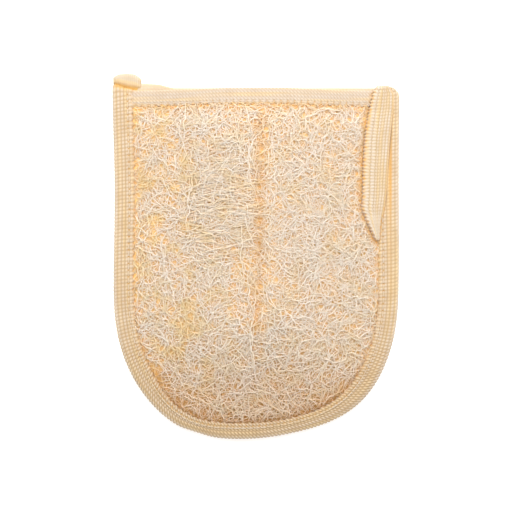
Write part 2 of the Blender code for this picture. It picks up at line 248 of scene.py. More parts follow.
def line_distance(x: np.ndarray, y: np.ndarray, line: np.ndarray) -> np.ndarray:
    """Distance of places from a line, positive at its left and negative at its right."""
    start, step = line[:-1], np.diff(line, axis=0)
    flat = np.stack([np.ravel(x), np.ravel(y)], axis=1)
    result = np.empty(len(flat))
    for first in range(0, len(flat), PLACES_AT_ONCE):
        offset = flat[first:first + PLACES_AT_ONCE, None, :] - start[None]
        share = np.clip((offset * step).sum(2) / (step**2).sum(1), 0.0, 1.0)
        away = offset - step * share[..., None]
        distance = np.hypot(away[..., 0], away[..., 1])
        nearest = distance.argmin(1)
        rows = np.arange(len(nearest))
        turn = step[nearest, 0] * offset[rows, nearest, 1]
        turn -= step[nearest, 1] * offset[rows, nearest, 0]
        result[first:first + PLACES_AT_ONCE] = np.copysign(distance[rows, nearest], turn)
    return result.reshape(np.shape(x))


def lumps(x: np.ndarray, y: np.ndarray, size: float, seed: int) -> np.ndarray:
    """Uneven patches of about one size over the plan, from 0 to 1."""
    random = np.random.default_rng(seed)
    total = np.zeros(np.shape(x))
    for turn in random.uniform(0.0, math.pi, 7):
        stretch, phase = random.uniform(0.7, 1.5), random.uniform(0.0, math.tau)
        place = x * math.cos(turn) + y * math.sin(turn)
        total += np.sin(math.pi * place * stretch / size + phase)
    return smooth(0.5 + total / 5.0)


def evenly(line: np.ndarray, spacing: float) -> np.ndarray:
    """Points along a polyline, evenly spaced, with both ends kept."""
    steps = np.linalg.norm(np.diff(line, axis=0), axis=1)
    along = np.concatenate([[0.0], np.cumsum(steps)])
    count = max(2, int(round(along[-1] / spacing)) + 1)
    places = np.linspace(0.0, along[-1], count)
    return np.stack([np.interp(places, along, line[:, i]) for i in range(line.shape[1])], axis=1)


def unit(vectors: np.ndarray) -> np.ndarray:
    """Vectors of length one along the last axis."""
    length = np.linalg.norm(vectors, axis=-1, keepdims=True)
    return vectors / np.maximum(length, 1e-12)


def new_object(name: str, points: np.ndarray, faces: list, floats: dict[str, np.ndarray]) -> Any:
    """A mesh object from points and faces, with float attributes on its points.

    Args:
        name: the object's name.
        points: one row of x, y and z a point.
        faces: point numbers of each face.
        floats: values of each named attribute, one a point.

    Returns:
        The object, linked to the scene.
    """
    mesh = bpy.data.meshes.new(name)
    mesh.from_pydata(points.tolist(), [], faces)
    for key, values in floats.items():
        made = mesh.attributes.new(key, "FLOAT", "POINT")
        made.data.foreach_set("value", np.asarray(values, np.float32).ravel())
    mesh.shade_smooth()
    made = bpy.data.objects.new(name, mesh)
    bpy.context.scene.collection.objects.link(made)
    return made


def face_outwards(made: Any, weld: float = 0.0) -> None:
    """Turns the faces of a mesh outwards, after its points within a distance are welded."""
    mesh = bmesh.new()
    mesh.from_mesh(made.data)
    if weld:
        bmesh.ops.remove_doubles(mesh, verts=mesh.verts, dist=weld)
    bmesh.ops.recalc_face_normals(mesh, faces=mesh.faces)
    mesh.to_mesh(made.data)
    mesh.free()


def grid_faces(rows: int, columns: int, closed: bool = False) -> list:
    """Quads of a grid of points, whose columns may close into a ring."""
    span = columns if closed else columns - 1
    row, column = np.meshgrid(np.arange(rows - 1), np.arange(span), indexing="ij")
    after = (column + 1) % columns
    quads = [row * columns + column, row * columns + after]
    quads += [(row + 1) * columns + after, (row + 1) * columns + column]
    return np.stack(quads, axis=-1).reshape(-1, 4).tolist()


class TreeMaker:
    """Short ways to add nodes to a node tree and to join them."""

    def __init__(self, tree: Any) -> None:
        """Keeps the tree that the nodes go in."""
        self.tree = tree

    def node(self, kind: str, values: dict[Any, Any] | None = None, **settings: Any) -> Any:
        """Adds a node.

        Args:
            kind: the node's type name.
            values: what its inputs get: sockets to join, or plain values.
            settings: values of the node's own properties.

        Returns:
            The node.
        """
        made = self.tree.nodes.new(kind)
        for key, value in settings.items():
            setattr(made, key, value)
        for key, value in (values or {}).items():
            self.feed(made.inputs[key], value)
        return made

    def feed(self, socket: Any, value: Any) -> None:
        """Joins a socket to another, or sets its value."""
        if isinstance(value, bpy.types.NodeSocket):
            self.tree.links.new(value, socket)
        else:
            socket.default_value = value

    def vector(self, operation: str, *values: Any) -> Any:
        """Vector result of a vector operation."""
        made = self.tree.nodes.new("ShaderNodeVectorMath")
        made.operation = operation
        for socket, value in zip((s for s in made.inputs if s.enabled), values):
            self.feed(socket, value)
        return made.outputs["Vector"]

    def math(self, operation: str, *values: Any) -> Any:
        """Result of a math operation on numbers."""
        made = self.tree.nodes.new("ShaderNodeMath")
        made.operation = operation
        for socket, value in zip(made.inputs, values):
            self.feed(socket, value)
        return made.outputs[0]

    def xyz(self, **ways: Any) -> Any:
        """A vector from its X, Y and Z, with 0 for any that isn't given."""
        return self.node("ShaderNodeCombineXYZ", ways).outputs[0]

    def split(self, vector: Any) -> Any:
        """The X, Y and Z of a vector."""
        return self.node("ShaderNodeSeparateXYZ", {0: vector}).outputs

    def scaled(self, vector: Any, factor: Any) -> Any:
        """A vector times a number."""
        made = self.node("ShaderNodeVectorMath", {0: vector}, operation="SCALE")
        self.feed(made.inputs["Scale"], factor)
        return made.outputs[0]

    def ease(self, value: Any, low: Any, high: Any, start: Any = 0.0, end: Any = 1.0) -> Any:
        """Smooth step of a number from one range to another."""
        made = self.tree.nodes.new("ShaderNodeMapRange")
        made.interpolation_type = "SMOOTHSTEP"
        for socket, given in zip(made.inputs, (value, low, high, start, end)):
            self.feed(socket, given)
        return made.outputs[0]


class GrowthTree(TreeMaker):
    """A Geometry Nodes tree with named inputs, run on an object and made a plain mesh."""

    def __init__(self, name: str) -> None:
        """Makes the tree with its geometry in and out."""
        super().__init__(bpy.data.node_groups.new(name, "GeometryNodeTree"))
        sides = (("Geometry", "INPUT"), ("Result", "OUTPUT"))
        for label, way in sides:
            self.tree.interface.new_socket(
                name=label, in_out=way, socket_type="NodeSocketGeometry")
        self.given = self.tree.nodes.new("NodeGroupInput")
        self.result = self.tree.nodes.new("NodeGroupOutput")

    def input(self, name: str, default: float | int | None = None, kind: str = "Float") -> Any:
        """Adds a named input and returns its socket."""
        made = self.tree.interface.new_socket(
            name=name, in_out="INPUT", socket_type="NodeSocket" + kind)
        if default is not None:
            made.default_value = default
        return self.given.outputs[name]

    def inputs(self, defaults: dict[str, float | int]) -> list[Any]:
        """Adds named number inputs with their defaults, and returns their sockets in order."""
        return [
            self.input(name, value, "Int" if isinstance(value, int) else "Float")
            for name, value in defaults.items()
        ]

    def named(self, name: str) -> Any:
        """A float attribute's values."""
        return self.node(
            "GeometryNodeInputNamedAttribute", {"Name": name}, data_type="FLOAT"
        ).outputs["Attribute"]

    def store(self, geometry: Any, name: str, value: Any) -> Any:
        """Keeps a float on each point under a name."""
        return self.node(
            "GeometryNodeStoreNamedAttribute",
            {"Geometry": geometry, "Name": name, "Value": value},
            data_type="FLOAT", domain="POINT",
        ).outputs[0]

    def random(self, low: Any, high: Any, seed: Any, number: Any | None = None) -> Any:
        """A random float, the same for all points that share a number."""
        made = self.node("FunctionNodeRandomValue", data_type="FLOAT")
        floats = [s for s in made.inputs if s.enabled and s.name in ("Min", "Max")]
        for socket, value in zip(floats, (low, high)):
            self.feed(socket, value)
        self.feed(made.inputs["Seed"], seed)
        if number is not None:
            self.feed(made.inputs["ID"], number)
        return next(s for s in made.outputs if s.enabled)

    def place(self) -> Any:
        """Each point's place."""
        return self.node("GeometryNodeInputPosition").outputs[0]

    def noise(self, seed: Any, scale: float, detail: float, roughness: float = 0.5) -> Any:
        """Outputs of noise at each point's place, with a pattern of its own for each seed."""
        return self.node("ShaderNodeTexNoise", {
            "Vector": self.place(), "W": seed, "Scale": scale, "Detail": detail,
            "Roughness": roughness,
        }, noise_dimensions="4D").outputs

    def moved(self, geometry: Any, **values: Any) -> Any:
        """Geometry with its points moved by an Offset or to a Position."""
        return self.node(
            "GeometryNodeSetPosition", {"Geometry": geometry, **values}).outputs[0]

    def scattered(self, sheet: Any, density: Any, seed: Any) -> Any:
        """Outputs of random points on a sheet."""
        return self.node("GeometryNodeDistributePointsOnFaces", {
            "Mesh": sheet, "Density": density, "Seed": seed,
        }, distribute_method="RANDOM").outputs

    def trimmed(self, geometry: Any) -> Any:
        """Geometry without the points whose kept value "within" is 0."""
        outside = self.math("LESS_THAN", self.named("within"), 0.5)
        return self.node("GeometryNodeDeleteGeometry", {
            "Geometry": geometry, "Selection": outside}, domain="POINT").outputs[0]

    def tube(self, lines: Any, sides: int, radius: Any, scale: Any = 1.0) -> Any:
        """Gives lines a round body with closed ends."""
        ring = self.node("GeometryNodeCurvePrimitiveCircle", {"Resolution": sides, "Radius": radius})
        return self.node("GeometryNodeCurveToMesh", {
            "Curve": lines, "Profile Curve": ring.outputs[0], "Scale": scale, "Fill Caps": True,
        }).outputs[0]

    def soft(self, geometry: Any) -> Any:
        """Geometry with smooth shading."""
        return self.node("GeometryNodeSetShadeSmooth", {"Geometry": geometry}).outputs[0]

    def end(self, geometry: Any, material: Any) -> None:
        """Ends the tree in Realize Instances and Set Material."""
        real = self.node("GeometryNodeRealizeInstances", {"Geometry": geometry}).outputs[0]
        dressed = self.node("GeometryNodeSetMaterial", {"Geometry": real, "Material": material})
        self.tree.links.new(dressed.outputs[0], self.result.inputs[0])

    def grow(self, base: Any, name: str, values: dict[str, Any]) -> Any:
        """Runs the tree on an object and removes that object.

        Args:
            base: the object that the tree reads.
            name: the new object's name.
            values: the tree's inputs, by name.

        Returns:
            A new object with the result as a plain mesh.
        """
        modifier = base.modifiers.new(self.tree.name, "NODES")
        modifier.node_group = self.tree
        for item in self.tree.interface.items_tree:
            if item.in_out == "INPUT" and item.name in values:
                modifier[item.identifier] = values[item.name]
        graph = bpy.context.evaluated_depsgraph_get()
        mesh = bpy.data.meshes.new_from_object(base.evaluated_get(graph))
        base.modifiers.remove(modifier)
        made = bpy.data.objects.new(name, mesh)
        bpy.context.scene.collection.objects.link(made)
        bpy.data.objects.remove(base)
        return made


class Finish:
    """Base of the finishes: a Principled material and its nodes."""

    def start(self, name: str, roughness: float, sheen: float,
              translucent: float = 0.0) -> tuple[Any, TreeMaker, Any]:
        """Makes the material with its constant values on the shader's own sockets.

        Args:
            name: the material's name.
            roughness: the surface's roughness.
            sheen: how much the fuzz of its fibres shines.
            translucent: share of the light that scatters inside.

        Returns:
            The material, a maker for its tree, and its shader node.
        """
        made = bpy.data.materials.new(name)
        made.use_nodes = True
        shader = made.node_tree.nodes["Principled BSDF"]
        shader.inputs["Roughness"].default_value = roughness
        shader.inputs["Specular IOR Level"].default_value = 0.25
        shader.inputs["Sheen Weight"].default_value = sheen
        shader.inputs["Sheen Roughness"].default_value = 0.5
        if translucent:
            shader.inputs["Subsurface Weight"].default_value = translucent
            shader.inputs["Subsurface Radius"].default_value = (0.9, 1.0, 1.0)
            shader.inputs["Subsurface Scale"].default_value = 0.4 * MM
        return made, TreeMaker(made.node_tree), shader

    def blend(self, maker: TreeMaker, share: Any, first: Any, second: Any) -> Any:
        """Colour between two colours."""
        made = maker.node("ShaderNodeMix", data_type="RGBA")
        values = {"Factor": share, "A": first, "B": second}
        for socket in made.inputs:
            if socket.enabled and socket.name in values:
                value = values[socket.name]
                if isinstance(value, tuple):
                    value = (*value, 1.0)
                maker.feed(socket, value)
        return next(s for s in made.outputs if s.enabled)

    def attribute(self, maker: TreeMaker, name: str) -> Any:
        """A float attribute of the piece."""
        return maker.node("ShaderNodeAttribute", attribute_name=name).outputs["Fac"]

    def place(self, maker: TreeMaker) -> Any:
        """X, Y and Z of the piece's own coordinates."""
        return maker.split(maker.node("ShaderNodeTexCoord").outputs["Object"])

    def noise(self, maker: TreeMaker, scale: float, detail: float = 2.0) -> Any:
        """Noise on the piece's own coordinates, with scale in lumps a metre."""
        place = maker.node("ShaderNodeTexCoord").outputs["Object"]
        values = {"Vector": place, "Scale": scale, "Detail": detail}
        return maker.node("ShaderNodeTexNoise", values).outputs[0]

    def bump(self, maker: TreeMaker, shader: Any, height: Any, depth: float) -> None:
        """Bump of a height field on the shader, with its depth in metres."""
        values = {"Height": height, "Strength": 0.6, "Distance": depth}
        maker.feed(shader.inputs["Normal"], maker.node("ShaderNodeBump", values).outputs[0])


@dataclass(frozen=True)
class DriedFibre(Finish):
    """Bleached loofah fibre: cream on top and warmer tan deeper down, partly its own tan and partly
    painted shade; yellower at the left; with painted orange shade beside the tapes and painted shade
    darker towards the bottom.
    """

    name: str
    pale: tuple[float, float, float]
    deep: tuple[float, float, float]
    warm: tuple[float, float, float] = (0.92, 0.66, 0.30)
    warmth: float = 0.45
    # Painted orange shade beside the tapes, the hanging loop and the spine's groove, with a darker
    # colour towards the bottom.
    painted_shade: tuple[float, float, float] = (0.90, 0.50, 0.14)
    painted_shade_low: tuple[float, float, float] = (0.50, 0.25, 0.07)
    painted_shade_share: float = 0.85
    # Painted shade: the colour that the fibres blend to, darker towards the bottom.
    low_shade: tuple[float, float, float] = (0.80, 0.38, 0.08)
    wear: float = 0.4
    low_shade_y: tuple[float, float] = (-88.0 * MM, -35.0 * MM)
    roughness: float = 0.6
    translucent: float = 0.7
    left_zone_x: float = -25.0 * MM
    zone_blur: float = 18.0 * MM
    patch_scale: float = 90.0
    fleck_scale: float = 900.0
    grain_scale: float = 3500.0
    grain_depth: float = 0.05 * MM

    def material(self) -> Any:
        """Builds the material."""
        made, maker, shader = self.start(self.name, self.roughness, 0.12, self.translucent)
        # Deeper fibres darker: partly the fibres' own tan, partly painted shade.
        shade = self.attribute(maker, "shade")
        colour = self.blend(maker, shade, self.deep, self.pale)
        x, y, _ = self.place(maker)
        low, high = self.left_zone_x - self.zone_blur, self.left_zone_x + self.zone_blur
        left = maker.ease(x, low, high, 1.0, 0.0)
        patches = maker.ease(self.noise(maker, self.patch_scale), 0.42, 0.68)
        wide = maker.math("MULTIPLY", maker.math("ADD", left, 0.6), patches)
        share = maker.math("MULTIPLY", wide, self.warmth)
        colour = self.blend(maker, share, colour, self.warm)
        fine = maker.ease(self.noise(maker, self.fleck_scale), 0.35, 0.75, 0.0, 0.12)
        colour = self.blend(maker, fine, colour, self.warm)
        # Painted shade, darker towards the bottom, stronger on the deeper fibres.
        low_shade = maker.ease(y, *self.low_shade_y, self.wear, 0.0)
        low_shade = maker.math("MULTIPLY", low_shade, maker.math("MULTIPLY_ADD", shade, -0.9, 1.5))
        colour = self.blend(maker, low_shade, colour, self.low_shade)
        # Painted orange shade where the kept edge value says, darker towards the bottom.
        edge = maker.math("MULTIPLY", self.attribute(maker, "edge"), self.painted_shade_share)
        painted_shade_colour = self.blend(maker, maker.ease(y, *self.low_shade_y, 1.0, 0.0), self.painted_shade, self.painted_shade_low)
        colour = self.blend(maker, edge, colour, painted_shade_colour)
        maker.feed(shader.inputs["Base Color"], colour)
        self.bump(maker, shader, self.noise(maker, self.grain_scale, 3.0), self.grain_depth)
        return made


@dataclass(frozen=True)
class WovenCotton(Finish):
    """Unbleached woven tape: fuzzy yarns, with painted shade in their valleys and creases, and painted
    shade darker towards the bottom.
    """

    name: str
    pale: tuple[float, float, float]
    shadow: tuple[float, float, float]
    crease_shade: tuple[float, float, float] = (0.72, 0.40, 0.10)
    golden: tuple[float, float, float] = (0.74, 0.55, 0.29)
    streak: float = 0.75
    # Painted shade: the colour that the tape blends to, darker towards the bottom.
    low_shade: tuple[float, float, float] = (0.40, 0.285, 0.165)
    wear: float = 0.1
    low_shade_y: tuple[float, float] = (-92.0 * MM, -40.0 * MM)
    yarn: float = 0.38 * MM
    streak_scale: float = 420.0
    mottle_scale: float = 160.0
    fuzz_scale: float = 4000.0
    fuzz_depth: float = 0.05 * MM
    translucent: float = 0.3
    roughness: float = 0.82

    def material(self) -> Any:
        """Builds the material."""
        made, maker, shader = self.start(self.name, self.roughness, 0.35, self.translucent)
        along = self.attribute(maker, "along")
        across = self.attribute(maker, "across")
        threads = [
            maker.math("SINE", maker.math("MULTIPLY", way, math.tau / self.yarn))
            for way in (along, across)
        ]
        weave = maker.math("MULTIPLY", *threads)
        warp = maker.xyz(X=across, Y=maker.math("MULTIPLY", along, 0.05))
        dyed = maker.node("ShaderNodeTexNoise", {
            "Vector": warp, "Scale": self.streak_scale, "Detail": 1.0}).outputs[0]
        dyed = maker.ease(dyed, 0.42, 0.66, 0.0, self.streak)
        colour = self.blend(maker, dyed, self.pale, self.golden)
        # Painted shade in the valleys between ribs, in grooves and at stitch holes.
        valley = self.attribute(maker, "valley")
        colour = self.blend(maker, valley, colour, self.shadow)
        mottle = maker.ease(self.noise(maker, self.mottle_scale), 0.35, 0.75, 0.0, 0.3)
        colour = self.blend(maker, mottle, colour, self.shadow)
        _, y, _ = self.place(maker)
        # Painted shade, darker towards the bottom.
        low_shade = maker.ease(y, *self.low_shade_y, self.wear, 0.0)
        colour = self.blend(maker, low_shade, colour, self.low_shade)
        # Painted shade in creases, along the inner edges and on the inner wall.
        colour = self.blend(maker, self.attribute(maker, "crease"), colour, self.crease_shade)
        maker.feed(shader.inputs["Base Color"], colour)
        fuzz = maker.math("MULTIPLY_ADD", self.noise(maker, self.fuzz_scale, 3.0), 0.8, weave)
        self.bump(maker, shader, fuzz, self.fuzz_depth)
        return made


@dataclass(frozen=True)
class TerryCotton(Finish):
    """Soft cotton loops."""

    name: str = "terry_cotton"
    pale: tuple[float, float, float] = (0.9, 0.79, 0.63)
    deep: tuple[float, float, float] = (0.8, 0.64, 0.44)
    roughness: float = 0.95
    mottle_scale: float = 120.0
    fuzz_scale: float = 1800.0
    fuzz_depth: float = 0.25 * MM

    def material(self) -> Any:
        """Builds the material."""
        made, maker, shader = self.start(self.name, self.roughness, 0.5)
        mottle = maker.ease(self.noise(maker, self.mottle_scale), 0.3, 0.7)
        colour = self.blend(maker, mottle, self.deep, self.pale)
        maker.feed(shader.inputs["Base Color"], colour)
        self.bump(maker, shader, self.noise(maker, self.fuzz_scale, 4.0), self.fuzz_depth)
        return made


@dataclass(frozen=True)
class StudioFloor(Finish):
    """Matt white paper, evenly lit."""

    name: str = "white_paper"
    colour: tuple[float, float, float] = (0.95, 0.95, 0.95)
    glow: float = 0.3

    def material(self) -> Any:
        """Builds the material."""
        made, maker, shader = self.start(self.name, 0.9, 0.0)
        grain = maker.ease(self.noise(maker, 400.0), 0.3, 0.7, 0.0, 0.02)
        colour = self.blend(maker, grain, self.colour, (0.9, 0.9, 0.9))
        maker.feed(shader.inputs["Base Color"], colour)
        shader.inputs["Emission Color"].default_value = (1.0, 1.0, 1.0, 1.0)
        shader.inputs["Emission Strength"].default_value = self.glow
        return made


def add_piece(made: Any, nodes: tuple[str, ...] = ()) -> Any:
    """Makes a finished piece ride on the mitt's body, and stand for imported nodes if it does."""
    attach(made, "root")
    if nodes:
        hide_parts(*nodes)
    made.data.calc_loop_triangles()
    log.info("%s: %d triangles", made.name, len(made.data.loop_triangles))
    return made


def wear(made: Any, material: Any) -> Any:
    """Gives an object one material."""
    made.data.materials.clear()
    made.data.materials.append(material)
    return made


@dataclass
class PanelPlan:
    """Grid of places over a panel, from its edge in to the spine, at stations round its edge."""

    form: MittForm
    mouth_y: float
    inset: float
    spacing: float = 2.2 * MM
    columns: int = 36
    rim_width: float = 21.0 * MM

    def places(self) -> tuple[np.ndarray, np.ndarray]:
        """Returns the x and the y of every place, one row a station of the edge."""
        edge = self.form.outline(self.mouth_y, self.spacing)
        along = unit(np.gradient(edge, axis=0))
        normal = np.stack([-along[:, 1], along[:, 0]], axis=1)
        straight = edge[:, 1] >= self.form.bend_y
        start = edge + normal * self.inset
        ring = edge + normal * self.rim_width
        ring[straight, 1] = start[straight, 1] = edge[straight, 1]
        spine_y = np.maximum(edge[:, 1], self.form.bend_y)
        spine = np.stack([np.full(len(edge), self.form.spine_x), spine_y], axis=1)
        near = np.linspace(0.0, 1.0, self.columns // 3, endpoint=False)[None, :, None]
        far = np.linspace(0.0, 1.0, self.columns - self.columns // 3)[None, :, None]
        rim = start[:, None] + (ring - start)[:, None] * near
        middle = ring[:, None] + (spine - ring)[:, None] * far
        grid = np.concatenate([rim, middle], axis=1)
        return grid[..., 0], grid[..., 1]


@dataclass
class FibreLayer:
    """One layer of the loofah's net."""

    name: str
    count: int
    length: float
    radius: float
    points: int
    lift: float
    weave: float
    curl: float
    seed: int
    shade: tuple[float, float]
    side: Side = Side.UP
    zone: Zone = Zone.WHOLE
    turn: tuple[float, float] = (0.0, math.tau)


@dataclass
class CellLayer:
    """One layer of the loofah's net whose fibres grow together round open cells."""

    name: str
    cell: float
    stretch: float
    radius: float
    lift: float
    weave: float
    bow: float
    seed: int
    shade: tuple[float, float]
    side: Side = Side.UP


@dataclass
class LoofahFace:
    """The loofah panel: a matted bed, nets of grown-together fibres, and loose ones over them."""

    form: MittForm
    bed_drop: float = 0.9 * MM
    edge_fill: float = 0.45 * MM
    under_rise: float = 0.3 * MM
    strand_places: tuple[float, ...] = (-34.5 * MM, -2.5 * MM)
    strand_spread: float = 2.2 * MM
    fibre_sides: int = 3
    cell_waves: float = 210.0
    net_bends: float = 110.0
    net_waves: float = 150.0
    patch_size: float = 2.6 * MM
    tapes_cover: float = 1.2 * MM
    cell_jitter: float = 0.42
    cell_margin: float = 3.5 * MM
    # The deep colour and the lower layers' darker shades are partly the fibres' own tan and partly
    # painted shade down among them.
    fibre: DriedFibre = DriedFibre("loofah_fibre", (0.975, 0.855, 0.73), (0.89, 0.625, 0.37))
    # The bed's colour darkens strongly towards the bottom, as painted shade.
    bed_fibre: DriedFibre = DriedFibre(
        "loofah_bed_fibre", (0.89, 0.64, 0.34), (0.80, 0.51, 0.22), warmth=0.5,
        low_shade=(0.52, 0.28, 0.09), wear=0.7)
    cells: list[CellLayer] = field(default_factory=lambda: [
        CellLayer("loofah_cells_deep", cell=3.5 * MM, stretch=1.3, radius=0.28 * MM,
                  lift=0.2 * MM, weave=0.3 * MM, bow=0.6 * MM, seed=2, shade=(0.0, 0.5)),
        CellLayer("loofah_cells_middle", cell=3.3 * MM, stretch=1.5, radius=0.24 * MM,
                  lift=0.9 * MM, weave=0.5 * MM, bow=0.9 * MM, seed=4, shade=(0.4, 1.0)),
    ])
    layers: list[FibreLayer] = field(default_factory=lambda: [
        FibreLayer("loofah_net_middle", count=1700, length=13 * MM, radius=0.2 * MM, points=11,
                   lift=0.8 * MM, weave=0.5 * MM, curl=2.8 * MM, seed=5, shade=(0.2, 0.8)),
        FibreLayer("loofah_net_upper", count=2300, length=13 * MM, radius=0.185 * MM, points=12,
                   lift=1.3 * MM, weave=0.6 * MM, curl=2.8 * MM, seed=8, shade=(0.6, 1.0)),
        FibreLayer("loofah_net_loose", count=1000, length=19 * MM, radius=0.19 * MM, points=16,
                   lift=1.8 * MM, weave=0.6 * MM, curl=3.4 * MM, seed=13, shade=(0.9, 1.0)),
        FibreLayer("loofah_net_combed", count=300, length=14 * MM, radius=0.19 * MM, points=12,
                   lift=1.8 * MM, weave=0.5 * MM, curl=1.9 * MM, seed=17, shade=(0.3, 0.8),
                   zone=Zone.COMBED, turn=(-0.45, 0.45)),
        FibreLayer("loofah_net_strands", count=26, length=26 * MM, radius=0.23 * MM, points=20,
                   lift=2.1 * MM, weave=0.4 * MM, curl=2.2 * MM, seed=19, shade=(0.95, 1.0),
                   zone=Zone.STRANDS, turn=(1.35, 1.8)),
        FibreLayer("loofah_net_under", count=600, length=20 * MM, radius=0.3 * MM, points=9,
                   lift=0.3 * MM, weave=0.4 * MM, curl=4.0 * MM, seed=21, shade=(0.1, 0.7),
                   side=Side.DOWN),
    ])

    def marks(self, x: np.ndarray, y: np.ndarray) -> dict[str, np.ndarray]:
        """Values that the fibres need at places of the plan.

        Args:
            x, y: the places.

        Returns:
            Distance in from all tapes, share of painted orange shade, and share of a fibre's height.
        """
        form = self.form
        tapes, strap = form.inside_tapes(x, y), -form.strap_distance(x, y)
        # Painted orange shade: in patches beside the tapes, more towards the bottom, beside the mouth
        # tape, beside the hanging loop, and along the spine's groove.
        patch = lumps(x, y, self.patch_size, 3)
        low = ramp_up(-y, 45.0 * MM, 25.0 * MM)
        tape_reach = (0.5 + 0.7 * low) * MM + (1.7 + 1.4 * low) * MM * patch
        tape_share = 0.1 + 0.3 * low + (0.9 - 0.3 * low) * patch
        shade_by_tape = (1.0 - ramp_up(tapes, -0.2 * MM, tape_reach)) * tape_share
        mouth = form.face_mouth_y - y - form.mouth_leg
        shade_by_mouth = (1.0 - ramp_up(mouth, 0.8 * MM, 2.0 * MM)) * (0.2 + 0.4 * patch)
        mouth_shade = 0.1 * (1.0 - ramp_up(mouth, 0.0, 7.0 * MM))
        strap_reach = 0.9 * MM + 2.0 * MM * patch
        shade_by_strap = 0.95 * (1.0 - ramp_up(strap, 1.3 * MM, strap_reach))
        middle = 1.2 * MM + 1.5 * MM * ramp_up(y, 25.0 * MM, 30.0 * MM)
        middle = middle + 0.5 * MM * np.sin(y / (11.0 * MM))
        broken = 0.4 + 0.6 * lumps(x, y, 4.5 * MM, 9)
        spine = 0.7 * (bell(x, middle, 2.4 * MM) * broken) * ramp_up(y, -58.0 * MM, 30.0 * MM)
        edge = np.maximum.reduce([shade_by_tape, shade_by_mouth + mouth_shade, shade_by_strap, spine])
        sink = ramp_up(tapes, -self.tapes_cover, 1.8 * MM) * ramp_up(strap, -1.5 * MM, 4.5 * MM)
        return {"inside": np.minimum(tapes, strap), "edge": edge, "sink": sink}

    def crowd(self, zone: Zone, x: np.ndarray, y: np.ndarray) -> np.ndarray:
        """How thick the fibres of a zone stand at places of the plan."""
        form = self.form
        if zone is Zone.STRANDS:
            near = sum(bell(x, at, self.strand_spread) for at in self.strand_places)
            return near * ramp_up(y, -60.0 * MM, 20.0 * MM)
        if zone is Zone.COMBED:
            across = ramp_up(x, -36.0 * MM, 6.0 * MM) * ramp_down(x, 2.0 * MM, 6.0 * MM)
            band = ramp_up(y, -5.0 * MM, 15.0 * MM) * ramp_down(y, 72.0 * MM, 25.0 * MM)
            return across * band
        spine = bell(x, form.spine_x, 3.5 * MM) * (y > form.groove_end_y)
        left = 0.25 * ramp_down(x, -32.0 * MM, 6.0 * MM)
        return (1.0 - 0.55 * spine) * (1.0 - left) * (0.8 + 0.4 * lumps(x, y, 6.0 * MM, 6))

    def ground_z(self, side: Side, x: np.ndarray, y: np.ndarray) -> np.ndarray:
        """Height of the side of the bed that a layer grows from."""
        if side is Side.UP:
            return self.form.face_top(x, y) - self.bed_drop
        return self.form.face_low(x, y) + self.under_rise

    def ground(self, layer: FibreLayer) -> Any:
        """An open sheet over the panel that a layer's fibres grow from."""
        form = self.form
        plan = PanelPlan(form, form.face_mouth_y - 2.0 * MM, 4.0 * MM)
        x, y = plan.places()
        values = self.marks(x, y)
        values["crowd"] = self.crowd(layer.zone, x, y) * (values["inside"] > -1.0 * MM)
        points = np.stack([x, y, self.ground_z(layer.side, x, y)], axis=-1).reshape(-1, 3)
        return new_object("net_ground", points, grid_faces(*x.shape), values)

    def cell_ground(self, layer: CellLayer) -> Any:
        """A sheet of uneven triangles over the panel, one corner in the middle of each cell.

        Args:
            layer: the layer whose cell size and seed the sheet takes.

        Returns:
            The sheet, with the values of marks() kept on its points.
        """
        form, random = self.form, np.random.default_rng(layer.seed)
        wide, tall = layer.cell * layer.stretch, layer.cell * 0.87 / layer.stretch**0.5
        rows, columns = int(180 * MM / tall), int(150 * MM / wide)
        row, column = np.meshgrid(np.arange(rows), np.arange(columns), indexing="ij")
        x = (column + 0.5 * (row % 2)) * wide - 74.0 * MM
        y = row * tall - 93.0 * MM
        jitter = self.cell_jitter
        x = (x + random.uniform(-jitter, jitter, x.shape) * wide).ravel()
        y = (y + random.uniform(-jitter, jitter, y.shape) * tall).ravel()
        kept = form.inside_tapes(x, y) > -self.cell_margin
        x, y = x[kept], y[kept]
        flat = [Vector(pair) for pair in zip(x.tolist(), y.tolist())]
        corners, _, faces, *_ = delaunay_2d_cdt(flat, [], [], 0, 1e-7)
        x, y = (np.array([corner[i] for corner in corners]) for i in range(2))
        points = np.stack([x, y, self.ground_z(layer.side, x, y)], axis=1)
        return new_object("cell_ground", points, [list(face) for face in faces], self.marks(x, y))

